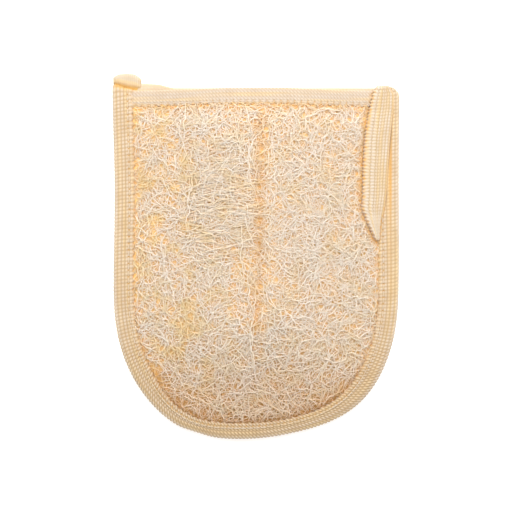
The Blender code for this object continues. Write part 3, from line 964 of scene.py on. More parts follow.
    def cell_tree(self) -> GrowthTree:
        """Tree that lays a bowed fibre along every edge between two cells."""
        tree = GrowthTree("loofah_cells")
        radius, lift, weave, bow, side, dark, light, seed = tree.inputs({
            "Radius": 0.25 * MM, "Lift": 0.5 * MM, "Weave": 0.4 * MM, "Bow": 0.5 * MM,
            "Side": 1.0, "Darkest": 0.0, "Lightest": 1.0, "Seed": 1,
        })
        material = tree.input("Material", kind="Material")
        cells = tree.node(
            "GeometryNodeDualMesh", {"Mesh": tree.given.outputs["Geometry"]}).outputs[0]
        lines = tree.node("GeometryNodeMeshToCurve", {"Mesh": cells}).outputs[0]
        smooth_lines = tree.node(
            "GeometryNodeResampleCurve", {"Curve": lines, "Count": 4}).outputs[0]
        owner = tree.node("GeometryNodeCurveOfPoint").outputs["Curve Index"]
        share = tree.node("GeometryNodeSplineParameter").outputs["Factor"]
        belly = tree.math("SINE", tree.math("MULTIPLY", share, math.pi))
        reach = tree.math("MULTIPLY", belly, bow)
        sway = tree.xyz(**{
            way: tree.math("MULTIPLY", reach, tree.random(
                -1.0, 1.0, tree.math("ADD", seed, step), owner))
            for way, step in (("X", 1.0), ("Y", 2.0))
        })
        wave = tree.noise(seed, self.cell_waves, 1.0)[0]
        swing = tree.math("MULTIPLY", tree.math("SUBTRACT", wave, 0.5), tree.math(
            "MULTIPLY", weave, 4.0))
        level = tree.math("MULTIPLY", tree.math("ADD", lift, swing), tree.named("sink"))
        rise = tree.xyz(Z=tree.math("MULTIPLY", level, side))
        kept = tree.store(smooth_lines, "within", tree.math(
            "GREATER_THAN", tree.named("inside"), -self.tapes_cover))
        laid = tree.moved(kept, Offset=tree.vector("ADD", sway, rise))
        width = tree.random(0.7, 1.35, tree.math("ADD", seed, 3.0), owner)
        shade = tree.random(dark, light, tree.math("ADD", seed, 4.0), owner)
        self.end_fibres(tree, tree.trimmed(laid), shade, tree.math("MULTIPLY", radius, width), material)
        return tree

    def end_fibres(self, tree: GrowthTree, lines: Any, shade: Any, thick: Any, material: Any) -> None:
        """Ends a tree by giving its lines the round bodies of fibres, with their shades."""
        sized = tree.store(tree.store(lines, "shade", shade), "thick", thick)
        body = tree.tube(sized, self.fibre_sides, 1.0, tree.named("thick"))
        tree.end(tree.soft(body), material)

    def net_tree(self) -> GrowthTree:
        """Tree that lays curved fibres over a sheet, each at its own height."""
        tree = GrowthTree("loofah_net")
        density, length, stations, radius, lift, weave, curl = tree.inputs({
            "Density": 1.0, "Length": 15 * MM, "Points": 10, "Radius": 0.25 * MM,
            "Lift": 0.5 * MM, "Weave": 0.5 * MM, "Curl": 4 * MM,
        })
        side, dark, light, turn_low, turn_high, seed = tree.inputs({
            "Side": 1.0, "Darkest": 0.0, "Lightest": 1.0, "Least Turn": 0.0,
            "Most Turn": math.tau, "Seed": 1,
        })
        material = tree.input("Material", kind="Material")
        ground = tree.given.outputs["Geometry"]

        spread = tree.scattered(ground, tree.math("MULTIPLY", density, tree.named("crowd")), seed)
        half = tree.math("MULTIPLY", length, 0.5)
        ends = [tree.xyz(X=tree.math("MULTIPLY", half, way)) for way in (-1.0, 1.0)]
        line = tree.node("GeometryNodeCurvePrimitiveLine", {"Start": ends[0], "End": ends[1]})
        fibre = tree.node(
            "GeometryNodeResampleCurve", {"Curve": line.outputs[0], "Count": stations})
        laid = tree.node("GeometryNodeInstanceOnPoints", {
            "Points": spread["Points"],
            "Instance": fibre.outputs[0],
            "Rotation": tree.xyz(Z=tree.random(turn_low, turn_high, seed)),
            "Scale": tree.random(0.55, 1.3, tree.math("ADD", seed, 1.0)),
        })
        real = tree.node("GeometryNodeRealizeInstances", {"Geometry": laid.outputs[0]}).outputs[0]

        owner = tree.node("GeometryNodeCurveOfPoint").outputs["Curve Index"]
        own = tree.random(0.0, 4.0, tree.math("ADD", seed, 2.0), owner)
        bend = tree.noise(own, self.net_bends, 2.0, 0.62)["Color"]
        centred = tree.vector("SUBTRACT", bend, (0.5, 0.5, 0.5))
        flat = tree.vector("MULTIPLY", centred, (1.0, 1.0, 0.0))
        sway = tree.scaled(flat, tree.math("MULTIPLY", curl, 4.0))
        curled = tree.moved(real, Offset=sway)

        x, y, _ = tree.split(tree.place())
        ray = tree.node("GeometryNodeRaycast", {
            "Target Geometry": ground,
            "Source Position": tree.xyz(X=x, Y=y, Z=tree.math("MULTIPLY", side, 0.1)),
            "Ray Direction": tree.xyz(Z=tree.math("MULTIPLY", side, -1.0)),
            "Ray Length": 1.0,
        }, data_type="FLOAT_VECTOR")
        sampled = next(s for s in ray.inputs if s.name == "Attribute" and s.enabled)
        tree.feed(sampled, tree.xyz(
            X=tree.named("inside"), Y=tree.named("edge"), Z=tree.named("sink")))
        found = next(s for s in ray.outputs if s.name == "Attribute" and s.enabled)
        inside, painted_shade, sink = tree.split(found)
        wave = tree.noise(tree.math("MULTIPLY", own, 3.0), self.net_waves, 0.0)[0]
        swing = tree.math("MULTIPLY", tree.math("SUBTRACT", wave, 0.5), tree.math(
            "MULTIPLY", weave, 4.0))
        level = tree.math("ADD", lift, swing)
        level = tree.math("MULTIPLY", level, sink)
        ends_in = tree.node("GeometryNodeSplineParameter").outputs["Factor"]
        edge = tree.math("ABSOLUTE", tree.math("MULTIPLY_ADD", ends_in, 2.0, -1.0))
        root = tree.math("MULTIPLY", tree.math("POWER", edge, 6.0), tree.math(
            "ADD", lift, 0.3 * MM))
        level = tree.math("SUBTRACT", level, root)
        _, _, hit = tree.split(ray.outputs["Hit Position"])
        lying = tree.xyz(X=x, Y=y, Z=tree.math("MULTIPLY_ADD", level, side, hit))
        # Keeps the share of painted orange shade on each fibre, as its edge value.
        marked = tree.store(curled, "edge", painted_shade)
        kept = tree.store(marked, "within", tree.math(
            "MULTIPLY", ray.outputs["Is Hit"],
            tree.math("GREATER_THAN", inside, -self.tapes_cover)))
        draped = tree.moved(kept, Position=lying)

        width = tree.random(0.75, 1.3, tree.math("ADD", seed, 3.0), owner)
        taper = tree.math("MULTIPLY_ADD", tree.math("POWER", edge, 4.0), -0.5, 1.0)
        thick = tree.math("MULTIPLY", tree.math("MULTIPLY", radius, width), taper)
        shade = tree.random(dark, light, tree.math("ADD", seed, 4.0), owner)
        self.end_fibres(tree, tree.trimmed(draped), shade, thick, material)
        return tree

    def bed(self, material: Any) -> Any:
        """The closed, matted body under the loose fibres."""
        form = self.form
        plan = PanelPlan(form, form.face_mouth_y - 1.8 * MM, 3.4 * MM, 2.4 * MM, 30)
        x, y = plan.places()
        rows, columns = x.shape
        recess = np.where(form.face_mouth_y - y < 10.3 * MM, 1.0 * MM, 0.0)
        fill = hump(form.strap_distance(x, y), 0.0, 3.5 * MM)
        beside = 0.6 * hump(form.inside_tapes(x, y), 0.0, 2.5 * MM)
        fill = np.maximum(fill, beside * ramp_up(y, -30.0 * MM, 20.0 * MM))
        top = form.face_top(x, y) - np.maximum(self.bed_drop - self.edge_fill * fill, recess)
        low = form.face_low(x, y) + np.maximum(self.under_rise, recess)
        points = np.concatenate([
            np.stack([x, y, z], axis=-1).reshape(-1, 3) for z in (top, low)])
        sheet = grid_faces(rows, columns)
        count = rows * columns
        faces = sheet + [[n + count for n in reversed(quad)] for quad in sheet]
        rim = range(0, count, columns)
        first, last = range(columns), range(count - columns, count)
        for line in (rim, first, last):
            faces += [[a, b, b + count, a + count] for a, b in zip(line, line[1:])]
        # The bed gets the same painted orange shade as the fibres.
        edge = self.marks(x, y)["edge"].ravel()
        made = new_object("loofah_bed", points, faces, {
            "shade": np.full(2 * count, 0.4), "edge": np.tile(edge, 2)})
        face_outwards(made, WELD)
        return wear(made, material)

    def build(self) -> None:
        """Builds the bed and every layer of fibres."""
        fibre, bed_fibre = self.fibre.material(), self.bed_fibre.material()
        add_piece(self.bed(bed_fibre), ("loofah_face",))
        tree = self.cell_tree()
        for layer in self.cells:
            values = {**self.shared_values(layer), "Bow": layer.bow, "Material": fibre}
            add_piece(tree.grow(self.cell_ground(layer), layer.name, values))
        tree = self.net_tree()
        for layer in self.layers:
            base = self.ground(layer)
            values = {
                **self.shared_values(layer), "Density": layer.count / self.grown_area(base),
                "Length": layer.length, "Points": layer.points, "Curl": layer.curl,
                "Least Turn": layer.turn[0], "Most Turn": layer.turn[1], "Material": fibre,
            }
            add_piece(tree.grow(base, layer.name, values))

    def shared_values(self, layer: FibreLayer | CellLayer) -> dict[str, Any]:
        """Inputs that both kinds of layers give to their trees."""
        return {
            "Radius": layer.radius, "Lift": layer.lift, "Weave": layer.weave,
            "Side": layer.side.value, "Darkest": layer.shade[0],
            "Lightest": layer.shade[1], "Seed": layer.seed,
        }

    def grown_area(self, sheet: Any) -> float:
        """Area of a sheet, each face weighted by how thick fibres stand on it."""
        crowd = np.empty(len(sheet.data.vertices), np.float32)
        sheet.data.attributes["crowd"].data.foreach_get("value", crowd)
        return sum(face.area * crowd[list(face.vertices)].mean() for face in sheet.data.polygons)


@dataclass(frozen=True)
class Weave:
    """How one tape is woven: its grooves and ribs, how the ribs slant, where it is sewn.

    The grooves' and the seam's distances from the inner edge are in millimetres.
    """

    grooves: tuple[float, ...]
    slant: float
    shift: float
    seam: float
    seed: float
    pitch: float = 1.9 * MM
    height: float = 0.34 * MM
    pull: float = 0.55 * MM
    loops: float = 0.12 * MM
    groove_half: float = 0.34 * MM
    grooved: float = 0.9
    ribbed: float = 0.75
    edge_dip: float = 0.45 * MM
    edge_shade: float = 0.5
    # Presses the fold's round in or raises it; through the valley value it also paints shade on the
    # round, or lightens it when negative.
    pressed: float = -0.22
    fold_start: float = 7.0 * MM
    fold_end: float = 12.0 * MM

    def wale(self, across: np.ndarray) -> np.ndarray:
        """Number of the wale at distances from the inner edge, with its share as the fraction."""
        marks = np.concatenate([[0.0], np.array(self.grooves) * MM])
        return np.interp(across, marks, np.arange(len(marks)))

    def groove(self, across: np.ndarray) -> np.ndarray:
        """Depth of the grooves between wales at distances from the inner edge, from 0 to 1, plus the
        fold's round pressed in or raised, which also paints shade on it or lightens it.
        """
        marks = np.array(self.grooves) * MM
        away = np.abs(across[:, None] - marks[None]).min(axis=1)
        folded = ramp_up(across, self.fold_start, 2.5 * MM) * ramp_down(across, self.fold_end, 1.5 * MM)
        return self.grooved * bell(away, 0.0, self.groove_half) + self.pressed * folded

    def teeth(self, along: np.ndarray, stitch_pitch: float) -> np.ndarray:
        """Pull of the stitches and loops of the selvedge at distances along the tape."""
        stitch = 0.5 + 0.5 * np.cos(math.tau * along / stitch_pitch)
        loop = 0.5 + 0.5 * np.cos(math.tau * along / self.pitch)
        return self.pull * stitch + self.loops * loop


@dataclass
class WovenTapes:
    """All the woven tapes of the mitt and the stitches through them.

    Each of the side tape's swells is its height, its place's x and y, and its reach, in millimetres.
    """

    form: MittForm
    thick: float = 0.7 * MM
    strap_thick: float = 1.4 * MM
    strap_rise: float = 0.6 * MM
    edge_slope: float = 0.55
    wall_shade: float = 0.75
    floor_gap: float = 0.01 * MM
    samples: int = 5
    groove_depth: float = 0.3 * MM
    hole_depth: float = 0.2 * MM
    crease_depth: float = 0.8 * MM
    stitch_pitch: float = 3.5 * MM
    corner: float = 4.6 * MM
    furrow_x: float = 69.9 * MM
    drift_scale: float = 45.0
    fold_reach: float = 3.6 * MM
    upper_z: float = 4.0 * MM
    swells: tuple[tuple[float, ...], ...] = (
        (0.75, 48.0, -76.0, 34.0), (0.6, -8.0, -94.0, 30.0), (-0.7, -31.0, -92.0, 12.0))
    strap_width: float = 12.6 * MM
    strap_bend: float = 0.9 * MM
    strap_fall: float = 3.6 * MM
    strap_columns: int = 30
    strap_shift: float = 2.5 * MM
    end_left: float = -74.0 * MM
    end_right: float = -59.9 * MM
    end_peak_x: float = -67.4 * MM
    end_high: float = 8.1 * MM
    end_top_y: float = 94.6 * MM
    end_low_y: float = 88.2 * MM
    patch_size: float = 2.6 * MM
    brim: float = 0.35 * MM
    twill_slant: float = 0.7
    twill_ribbed: float = 1.6
    side_weave: Weave = Weave(
        (2.7, 4.7, 6.6, 8.5, 10.6, 13.0, 16.0, 19.0, 22.5, 26.0),
        slant=0.12, shift=0.1, seam=2.7, seed=1.0)
    mouth_weave: Weave = Weave(
        (1.5, 3.4, 5.2, 6.9, 8.6, 10.5, 13.0, 16.0, 20.0),
        slant=0.7, shift=0.0, seam=1.4, seed=2.0, pitch=1.8 * MM, height=0.26 * MM,
        grooved=0.35, ribbed=0.9, edge_dip=-0.12 * MM, edge_shade=0.6, pressed=0.4)
    back_weave: Weave = Weave(
        (1.5, 3.4, 5.2, 6.9, 8.6, 10.5, 13.0, 16.0, 20.0),
        slant=0.5, shift=0.0, seam=1.4, seed=3.0, height=0.12 * MM,
        grooved=0.3, ribbed=0.4, pressed=0.4)
    strap_weave: Weave = Weave(
        (2.9, 5.7, 7.2, 8.8, 10.4, 12.0, 14.0),
        slant=0.0, shift=0.0, seam=NO_SEAM, seed=4.0, pitch=1.8 * MM, height=0.32 * MM,
        pull=0.1 * MM, loops=0.7 * MM, edge_shade=0.95, pressed=0.0)
    end_weave: Weave = Weave(
        (30.0,), slant=0.1, shift=0.0, seam=NO_SEAM, seed=5.0, pitch=1.05 * MM, height=0.1 * MM)
    cotton: WovenCotton = WovenCotton("woven_tape", (0.675, 0.555, 0.415), (0.47, 0.31, 0.16))
    mouth_cotton: WovenCotton = WovenCotton("woven_mouth", (0.61, 0.525, 0.44), (0.51, 0.37, 0.24))
    strap_cotton: WovenCotton = WovenCotton(
        "woven_strap", (0.70, 0.61, 0.505), (0.50, 0.345, 0.185), streak=0.85)
    end_cotton: WovenCotton = WovenCotton("woven_end", (0.60, 0.51, 0.39), (0.54, 0.40, 0.25))
    back_cotton: WovenCotton = WovenCotton("woven_back", (0.66, 0.54, 0.40), (0.62, 0.46, 0.29))
    thread: WovenCotton = WovenCotton("sewing_thread", (0.72, 0.61, 0.48), (0.66, 0.5, 0.32))

    def step(self, weave: Weave) -> float:
        """Distance between two stations along a tape."""
        return weave.pitch / self.samples

    def shell(self, name: str, middle: np.ndarray, across: np.ndarray, along: np.ndarray,
              weave: Weave, thick: float, twill: np.ndarray | float = 0.0,
              crease: np.ndarray | None = None) -> Any:
        """A closed tape round a grid of points on its middle surface.

        Args:
            name: the tape's name.
            middle: points of the middle surface, by station, then across.
            across: distance of each column from the inner edge.
            along: distance of each station along the tape.
            weave: how the tape is woven.
            thick: the tape's thickness.
            twill: how far each station goes over from the tape's own weave to a twill.
            crease: depth of the crease and share of its painted shade at each point of the middle
                surface, from 0 to 1.

        Returns:
            The tape, with the values that its weave needs kept on its points.
        """
        rows, columns = middle.shape[:2]
        ahead = np.gradient(middle, axis=0)
        aside = np.gradient(middle, axis=1)
        normal = unit(np.cross(ahead, aside))
        normal = normal * np.sign(normal[:, 1, 2].mean())
        plump = np.ones(columns)
        plump[:4] = (0.25, 0.5, 0.75, 0.92)
        plump[-2:] = (0.85, 0.35)
        half = thick / 2
        inner = np.unique(np.append(np.arange(0, columns, 4), columns - 1))[::-1]
        outer_side = middle + normal * (half * plump)[None, :, None]
        inner_side = (middle - normal * half)[:, inner]
        for at, edge, beside in ((-1, 0, 1), (0, -1, -2)):
            inner_side[:, at] += unit(middle[:, edge] - middle[:, beside]) * self.edge_slope * thick
        ring = np.concatenate([outer_side, inner_side], axis=1)
        ring[..., 2] = np.maximum(ring[..., 2], self.floor_gap)
        count = ring.shape[1]
        faces = grid_faces(rows, count, closed=True)
        faces.append(list(range(count)))
        faces.append([(rows - 1) * count + i for i in reversed(range(count))])
        spread = np.concatenate([across, across[inner]])
        mask = np.concatenate([plump**2, np.zeros(len(inner))])
        twill = np.broadcast_to(twill, rows)
        roll = 0.4 * ramp_up(spread, 7.5 * MM, 2.0 * MM)
        slants = (weave.slant + (self.twill_slant - weave.slant) * twill)[:, None] + roll[None]
        ribbed = weave.ribbed + (self.twill_ribbed - weave.ribbed) * twill
        shifts = weave.shift * (1.0 - twill)
        deep = np.zeros((rows, columns)) if crease is None else crease
        # Painted shade along the inner edge, in patches at the stitches, and over the whole inner wall.
        notch = 0.5 + 0.5 * np.cos(math.tau * along / self.stitch_pitch)[:, None]
        brim = bell(across[None], 0.0, self.brim + self.brim * notch)
        patch = lumps(middle[..., 0], middle[..., 1], self.patch_size, 12)
        edge_shade_patches = 0.2 + 0.8 * notch * (0.5 + 0.5 * patch)
        deep = np.maximum(deep, weave.edge_shade * brim * edge_shade_patches)
        deep = np.concatenate([deep, deep[:, inner]], axis=1)
        deep[:, -1] = np.maximum(deep[:, -1], self.wall_shade)
        made = new_object(name, ring.reshape(-1, 3), faces, {
            "along": np.repeat(along, count),
            "across": np.tile(spread, rows),
            "wale": np.tile(weave.wale(spread), rows),
            "groove": weave.groove(spread)[None] * (1.0 + np.minimum(twill, 0.0))[:, None],
            "seam": np.tile(spread - weave.seam * MM, rows),
            "slant": slants,
            "shift": np.repeat(shifts, count),
            "ribbed": np.repeat(ribbed, count),
            "crease": deep,
            "outer": np.tile(mask, rows),
        })
        face_outwards(made)
        return made

    def weave_tree(self) -> GrowthTree:
        """Tree that raises ribs across a tape, presses its grooves, seam and creases in, and keeps the
        painted shade of its valleys, stitch holes and creases.
        """
        tree = GrowthTree("woven_ribs")
        pitch, height, depth, hole_pitch, hole_depth, crease_depth, seed = tree.inputs({
            "Rib Pitch": self.side_weave.pitch, "Rib Height": self.side_weave.height,
            "Groove Depth": self.groove_depth, "Stitch Pitch": self.stitch_pitch,
            "Stitch Depth": self.hole_depth, "Crease Depth": self.crease_depth, "Seed": 1.0,
        })
        material = tree.input("Material", kind="Material")
        along, wale, outer, seam = (tree.named(key) for key in ("along", "wale", "outer", "seam"))
        slant, shift, crease = (tree.named(key) for key in ("slant", "shift", "crease"))
        drift = tree.noise(seed, self.drift_scale, 1.0)[0]
        number = tree.math("FLOOR", wale)
        share = tree.math("FRACT", wale)
        groove = tree.named("groove")
        turns = tree.math("ADD", tree.math("DIVIDE", along, pitch), tree.math(
            "MULTIPLY", drift, 0.6))
        turns = tree.math("SUBTRACT", turns, tree.math("MULTIPLY", share, slant))
        turns = tree.math("SUBTRACT", turns, tree.math("MULTIPLY", number, shift))
        ripple = tree.math("COSINE", tree.math("MULTIPLY", turns, math.tau))
        dip = tree.math("MULTIPLY_ADD", ripple, -0.5, 0.5)
        rib = tree.math("SUBTRACT", 1.0, tree.math(
            "MULTIPLY", tree.math("POWER", dip, 2.2), tree.named("ribbed")))
        crest = tree.math("MULTIPLY", rib, tree.math("SUBTRACT", 1.0, groove))
        beat = tree.math("COSINE", tree.math(
            "MULTIPLY", tree.math("DIVIDE", along, hole_pitch), math.tau))
        beat = tree.ease(beat, 0.35, 1.0)
        near = tree.ease(tree.math("ABSOLUTE", seam), 0.2 * MM, 0.8 * MM, 1.0, 0.0)
        hole = tree.math("MULTIPLY", beat, near)
        raised = tree.math("MULTIPLY", crest, height)
        pressed = tree.math("MULTIPLY", groove, depth)
        pierced = tree.math("MULTIPLY", hole, hole_depth)
        folded = tree.math("MULTIPLY", tree.math("POWER", crease, 2.0), crease_depth)
        offset = tree.math("SUBTRACT", raised, tree.math(
            "ADD", pressed, tree.math("ADD", pierced, folded)))
        normal = tree.node("GeometryNodeInputNormal").outputs[0]
        push = tree.scaled(normal, tree.math("MULTIPLY", offset, outer))
        # Painted shade: rib valleys, grooves and stitch holes, and the holes also as crease shade.
        valley = tree.math("MULTIPLY_ADD", hole, 0.4, tree.math("SUBTRACT", 1.0, crest))
        stored = tree.store(tree.given.outputs["Geometry"], "valley", tree.math(
            "MINIMUM", valley, 1.0))
        stored = tree.store(stored, "crease", tree.math(
            "MAXIMUM", crease, tree.math("MULTIPLY", hole, 0.55)))
        tree.end(tree.moved(stored, Offset=push), material)
        return tree

    def weave(self, tree: GrowthTree, base: Any, name: str, material: Any, weave: Weave) -> Any:
        """Runs the weave on a smooth tape."""
        return tree.grow(base, name, {
            "Rib Pitch": weave.pitch, "Rib Height": weave.height,
            "Groove Depth": self.groove_depth, "Stitch Pitch": self.stitch_pitch,
            "Stitch Depth": self.hole_depth, "Crease Depth": self.crease_depth,
            "Seed": weave.seed, "Material": material,
        })

    def fold(self, low: float, high: float, leg: float, reach: float,
             rise: float) -> tuple[np.ndarray, np.ndarray]:
        """Middle line of a folded tape's section, from the front leg's edge round to the back's.

        Args:
            low: height of the back leg's outer side.
            high: height of the front leg's outer side at the fold.
            leg: how far both legs reach in from the fold.
            reach: how far the round of the fold reaches in.
            rise: how much higher the front leg is at its edge.

        Returns:
            The section's points, as distance in and height, and their distances along it.
        """
        half, dense_step, wide_step, seen = self.thick / 2, 0.43 * MM, 1.3 * MM, 0.42
        middle, tall = (low + high) / 2, (high - low) / 2 - half
        turn = np.linspace(0.0, math.pi, 41)
        bow = np.stack([reach - (reach - half) * np.sin(turn), middle + tall * np.cos(turn)], 1)
        front = np.array([[leg, high + rise - half], [leg * 0.6, high + rise * 0.55 - half]])
        line = np.concatenate([front, bow, [[leg, low + half]]])
        steps = np.concatenate([[0.0], np.cumsum(np.linalg.norm(np.diff(line, axis=0), axis=1))])
        visible = steps[2] + seen * (steps[-2] - steps[2])
        dense = np.linspace(0.0, visible, int(visible / dense_step) + 1)
        rest = np.linspace(visible, steps[-1], int((steps[-1] - visible) / wide_step) + 1)[1:]
        places = np.concatenate([dense, rest])
        section = np.stack([np.interp(places, steps, line[:, i]) for i in range(2)], axis=1)
        return section, places

    def swept_fold(self, path: np.ndarray, inward: np.ndarray, section: np.ndarray,
                   across: np.ndarray, weave: Weave) -> tuple[np.ndarray, np.ndarray]:
        """A folded tape's middle surface along a path.

        Args:
            path: the outer edge, evenly spaced, with the section's zero height.
            inward: direction in from the edge at each point of the path.
            section: distance in and height of the middle line's points.
            across: distance of those points from the front edge.
            weave: how the tape is woven.

        Returns:
            The middle surface's points, and the distance of each station along the path.
        """
        steps = np.linalg.norm(np.diff(path, axis=0), axis=1)
        travelled = np.concatenate([[0.0], np.cumsum(steps)])
        near_edge = smooth(1.0 - across / (2.2 * MM))
        pull = weave.teeth(travelled, self.stitch_pitch)[:, None] * near_edge[None]
        middle = np.empty((len(path), len(section), 3))
        middle[..., :2] = path[:, None, :2] + inward[:, None] * (
            section[None, :, 0] - pull)[..., None]
        dip = weave.edge_dip * smooth(1.0 - across / (1.8 * MM))
        middle[..., 2] = path[:, None, 2] + (section[:, 1] - dip)[None] - 0.5 * pull
        return middle, travelled

    def side_binding(self, tree: GrowthTree, material: Any) -> Any:
        """The tape folded over the two sides and the round end."""
        form = self.form
        weave = self.side_weave
        path = form.outline(form.tape_end_y, self.step(weave))
        section, across = self.fold(
            weave.height, form.rim_height, form.tape_leg, self.fold_reach, form.leg_rise)
        ahead = unit(np.gradient(path, axis=0))
        inward = np.stack([-ahead[:, 1], ahead[:, 0]], axis=1)
        edge = np.column_stack([path, np.zeros(len(path))])
        middle, travelled = self.swept_fold(edge, inward, section, across, weave)
        still_to_go = travelled[-1] - travelled
        front = across < form.tape_leg
        reach = np.where(front, section[:, 0] - self.fold_reach, 0.0).clip(0.0)
        narrower = (form.lap(path[:, 1]) - form.tape_leg) / (form.tape_leg - self.fold_reach)
        shift = reach[None] * narrower[:, None]
        cut = (self.corner - still_to_go).clip(0.0, self.corner)
        round_in = self.corner - np.sqrt(self.corner**2 - cut**2)
        round_in = round_in[:, None] * smooth(1.0 - section[None, :, 0] / (6.0 * MM))
        out = self.side_swell(path) * smooth(1.0 - section[None, :, 0] / (8.0 * MM))
        middle[..., :2] += inward[:, None] * (shift + round_in - out)[..., None]
        x, y = middle[..., 0], middle[..., 1]
        near_end = smooth(1.0 - travelled / (6.0 * MM))[:, None]
        middle[..., 1] = y + near_end * (form.crease_y(x) - form.tape_end_y)
        pinch = smooth(1.0 - travelled / (2.6 * MM))[:, None] * (middle[..., 2] > self.upper_z)
        middle[..., 2] -= 0.3 * MM * pinch
        # Painted shade in the furrow and seam by the loop, and where the tape's end is pinched.
        crease = np.maximum(self.side_crease(x, y) * (middle[..., 2] > self.upper_z), pinch)
        twill = ramp_down(path[:, 1], -35.0 * MM, 35.0 * MM)
        base = self.shell("smooth_side", middle, across, travelled, weave, self.thick, twill, crease)
        return self.weave(tree, base, "woven_side_binding", material, weave)

    def side_crease(self, x: np.ndarray, y: np.ndarray) -> np.ndarray:
        """Depth and painted shade of the furrow right of the hanging loop, and of the loop's seam, at
        places.
        """
        _, right = self.form.strap_edges(y)
        furrow = np.maximum(right + 0.2 * MM, self.furrow_x)
        wide = np.where(x < furrow, 1.3 * MM, 0.55 * MM)
        crease = 0.85 * bell(x, furrow, wide)
        crease *= 0.25 * ramp_up(y, -40.0 * MM, 40.0 * MM) + 0.75 * ramp_up(y, 8.0 * MM, 34.0 * MM)
        crease *= ramp_down(y, 80.0 * MM, 12.0 * MM)
        seam = bell(x - right, 0.3 * MM, 0.5 * MM)
        seam *= ramp_up(y, 6.0 * MM, 4.0 * MM) * ramp_down(y, 34.0 * MM, 10.0 * MM)
        return np.maximum(crease, 0.7 * seam)

    def side_swell(self, path: np.ndarray) -> np.ndarray:
        """How far the stuffed edge bulges out past its plan, at points of the path."""
        x, y = path[:, 0], path[:, 1]
        swell = 0.8 * MM * hump(y, 28.0 * MM, 60.0 * MM) * (x > 0.0)
        for high, at_x, at_y, half in self.swells:
            away = np.hypot(x - at_x * MM, y - at_y * MM)
            swell = swell + high * MM * hump(away, 0.0, half * MM)
        return (swell - 0.2 * MM)[:, None]

    def mouth_binding(self, tree: GrowthTree, material: Any, name: str, front: bool) -> Any:
        """The tape folded over the mouth edge of the loofah face, or of the back cloth."""
        form = self.form
        y = form.face_mouth_y if front else form.back_mouth_y
        reach = float(form.half_at(np.array(y))) - 4.2 * MM
        weave = self.mouth_weave if front else self.back_weave
        x = np.linspace(reach, -reach, int(2 * reach / self.step(weave)))
        edge = np.full(len(x), y)
        if front:
            z, height = form.face_low(x, edge), form.face_rim
        else:
            lifted = ramp_down(x, -46.0 * MM, 13.0 * MM)
            z, height = 0.9 * MM + 3.4 * MM * lifted, 2.6 * MM
            edge = edge + 1.8 * MM * ramp_down(x, -42.0 * MM, 10.0 * MM)
        path = np.stack([x, edge, z], axis=1)
        section, across = self.fold(0.0, height, form.mouth_leg, 1.4 * MM, 0.0)
        inward = np.tile([0.0, -1.0], (len(path), 1))
        middle, travelled = self.swept_fold(path, inward, section, across, weave)
        flat = middle[..., 0], middle[..., 1]
        # Painted shade in spots where the front mouth tape runs under the hanging loop.
        spots = lumps(*flat, 2.2 * MM, 15)
        crease = bell(form.strap_distance(*flat), 0.0, 1.5 * MM) * spots * float(front)
        base = self.shell("smooth_mouth", middle, across, travelled, weave, self.thick,
                          crease=crease)
        return self.weave(tree, base, name, material, weave)

    def hanging_loop(self, tree: GrowthTree, material: Any) -> Any:
        """The folded tail of tape over the right side, turned down at the mouth."""
        form = self.form
        columns = self.strap_columns
        share = np.linspace(0.0, 1.0, columns)
        weave = self.strap_weave
        y = np.arange(form.strap_heights[0] * MM, form.strap_heights[-1] * MM, self.step(weave))
        left, right = form.strap_edges(y)
        left = left + weave.teeth(y, self.stitch_pitch) - 0.3 * MM
        x = left[:, None] + (right - left)[:, None] * share[None]
        height = np.zeros(x.shape)
        for dx in (-self.strap_shift, 0.0, self.strap_shift):
            for dy in (-self.strap_shift, 0.0, self.strap_shift):
                beside = np.tile(y[:, None] + dy, (1, columns))
                under = np.maximum(form.binding_top(x + dx, beside), form.face_top(x + dx, beside))
                height = np.maximum(height, under)
        tip_drop = 0.3 * MM * ramp_down(y, 26.0 * MM, 8.0 * MM)
        height = height + self.strap_rise - tip_drop[:, None]
        flat = np.stack([x, np.tile(y[:, None], (1, columns)), height], axis=-1)
        bend, turned = self.strap_bend, []
        for angle in np.linspace(0.0, math.pi / 2, 6)[1:]:
            row = flat[-1].copy()
            row[:, 1] += bend * math.sin(angle)
            row[:, 2] -= bend * (1.0 - math.cos(angle))
            turned.append(row)
        for fall in np.arange(self.step(weave), self.strap_fall, self.step(weave)):
            row = turned[4].copy()  # the bend's last row
            row[:, 2] -= fall
            turned.append(row)
        middle = np.concatenate([flat, np.stack(turned)])[:, ::-1]
        steps = np.linalg.norm(np.diff(middle[:, columns // 2], axis=0), axis=1)
        travelled = np.concatenate([[0.0], np.cumsum(steps)])
        across = share[::-1] * self.strap_width
        # Painted shade along the loop's right edge, in dashes towards its lower end.
        far = bell(across, self.strap_width, 0.45 * MM)[None]
        low = ramp_down(middle[:, :1, 1], 30.0 * MM, 10.0 * MM)
        dots = 0.5 + 0.5 * np.cos(math.tau * travelled / (2 * weave.pitch))[:, None]
        crease = far * (0.25 + 0.75 * low * dots)
        tip = -0.55 * ramp_down(middle[:, 0, 1], 27.0 * MM, 9.0 * MM)
        base = self.shell("smooth_loop", middle, across, travelled, weave, self.strap_thick,
                          tip, crease)
        return self.weave(tree, base, "woven_hanging_loop", material, weave)

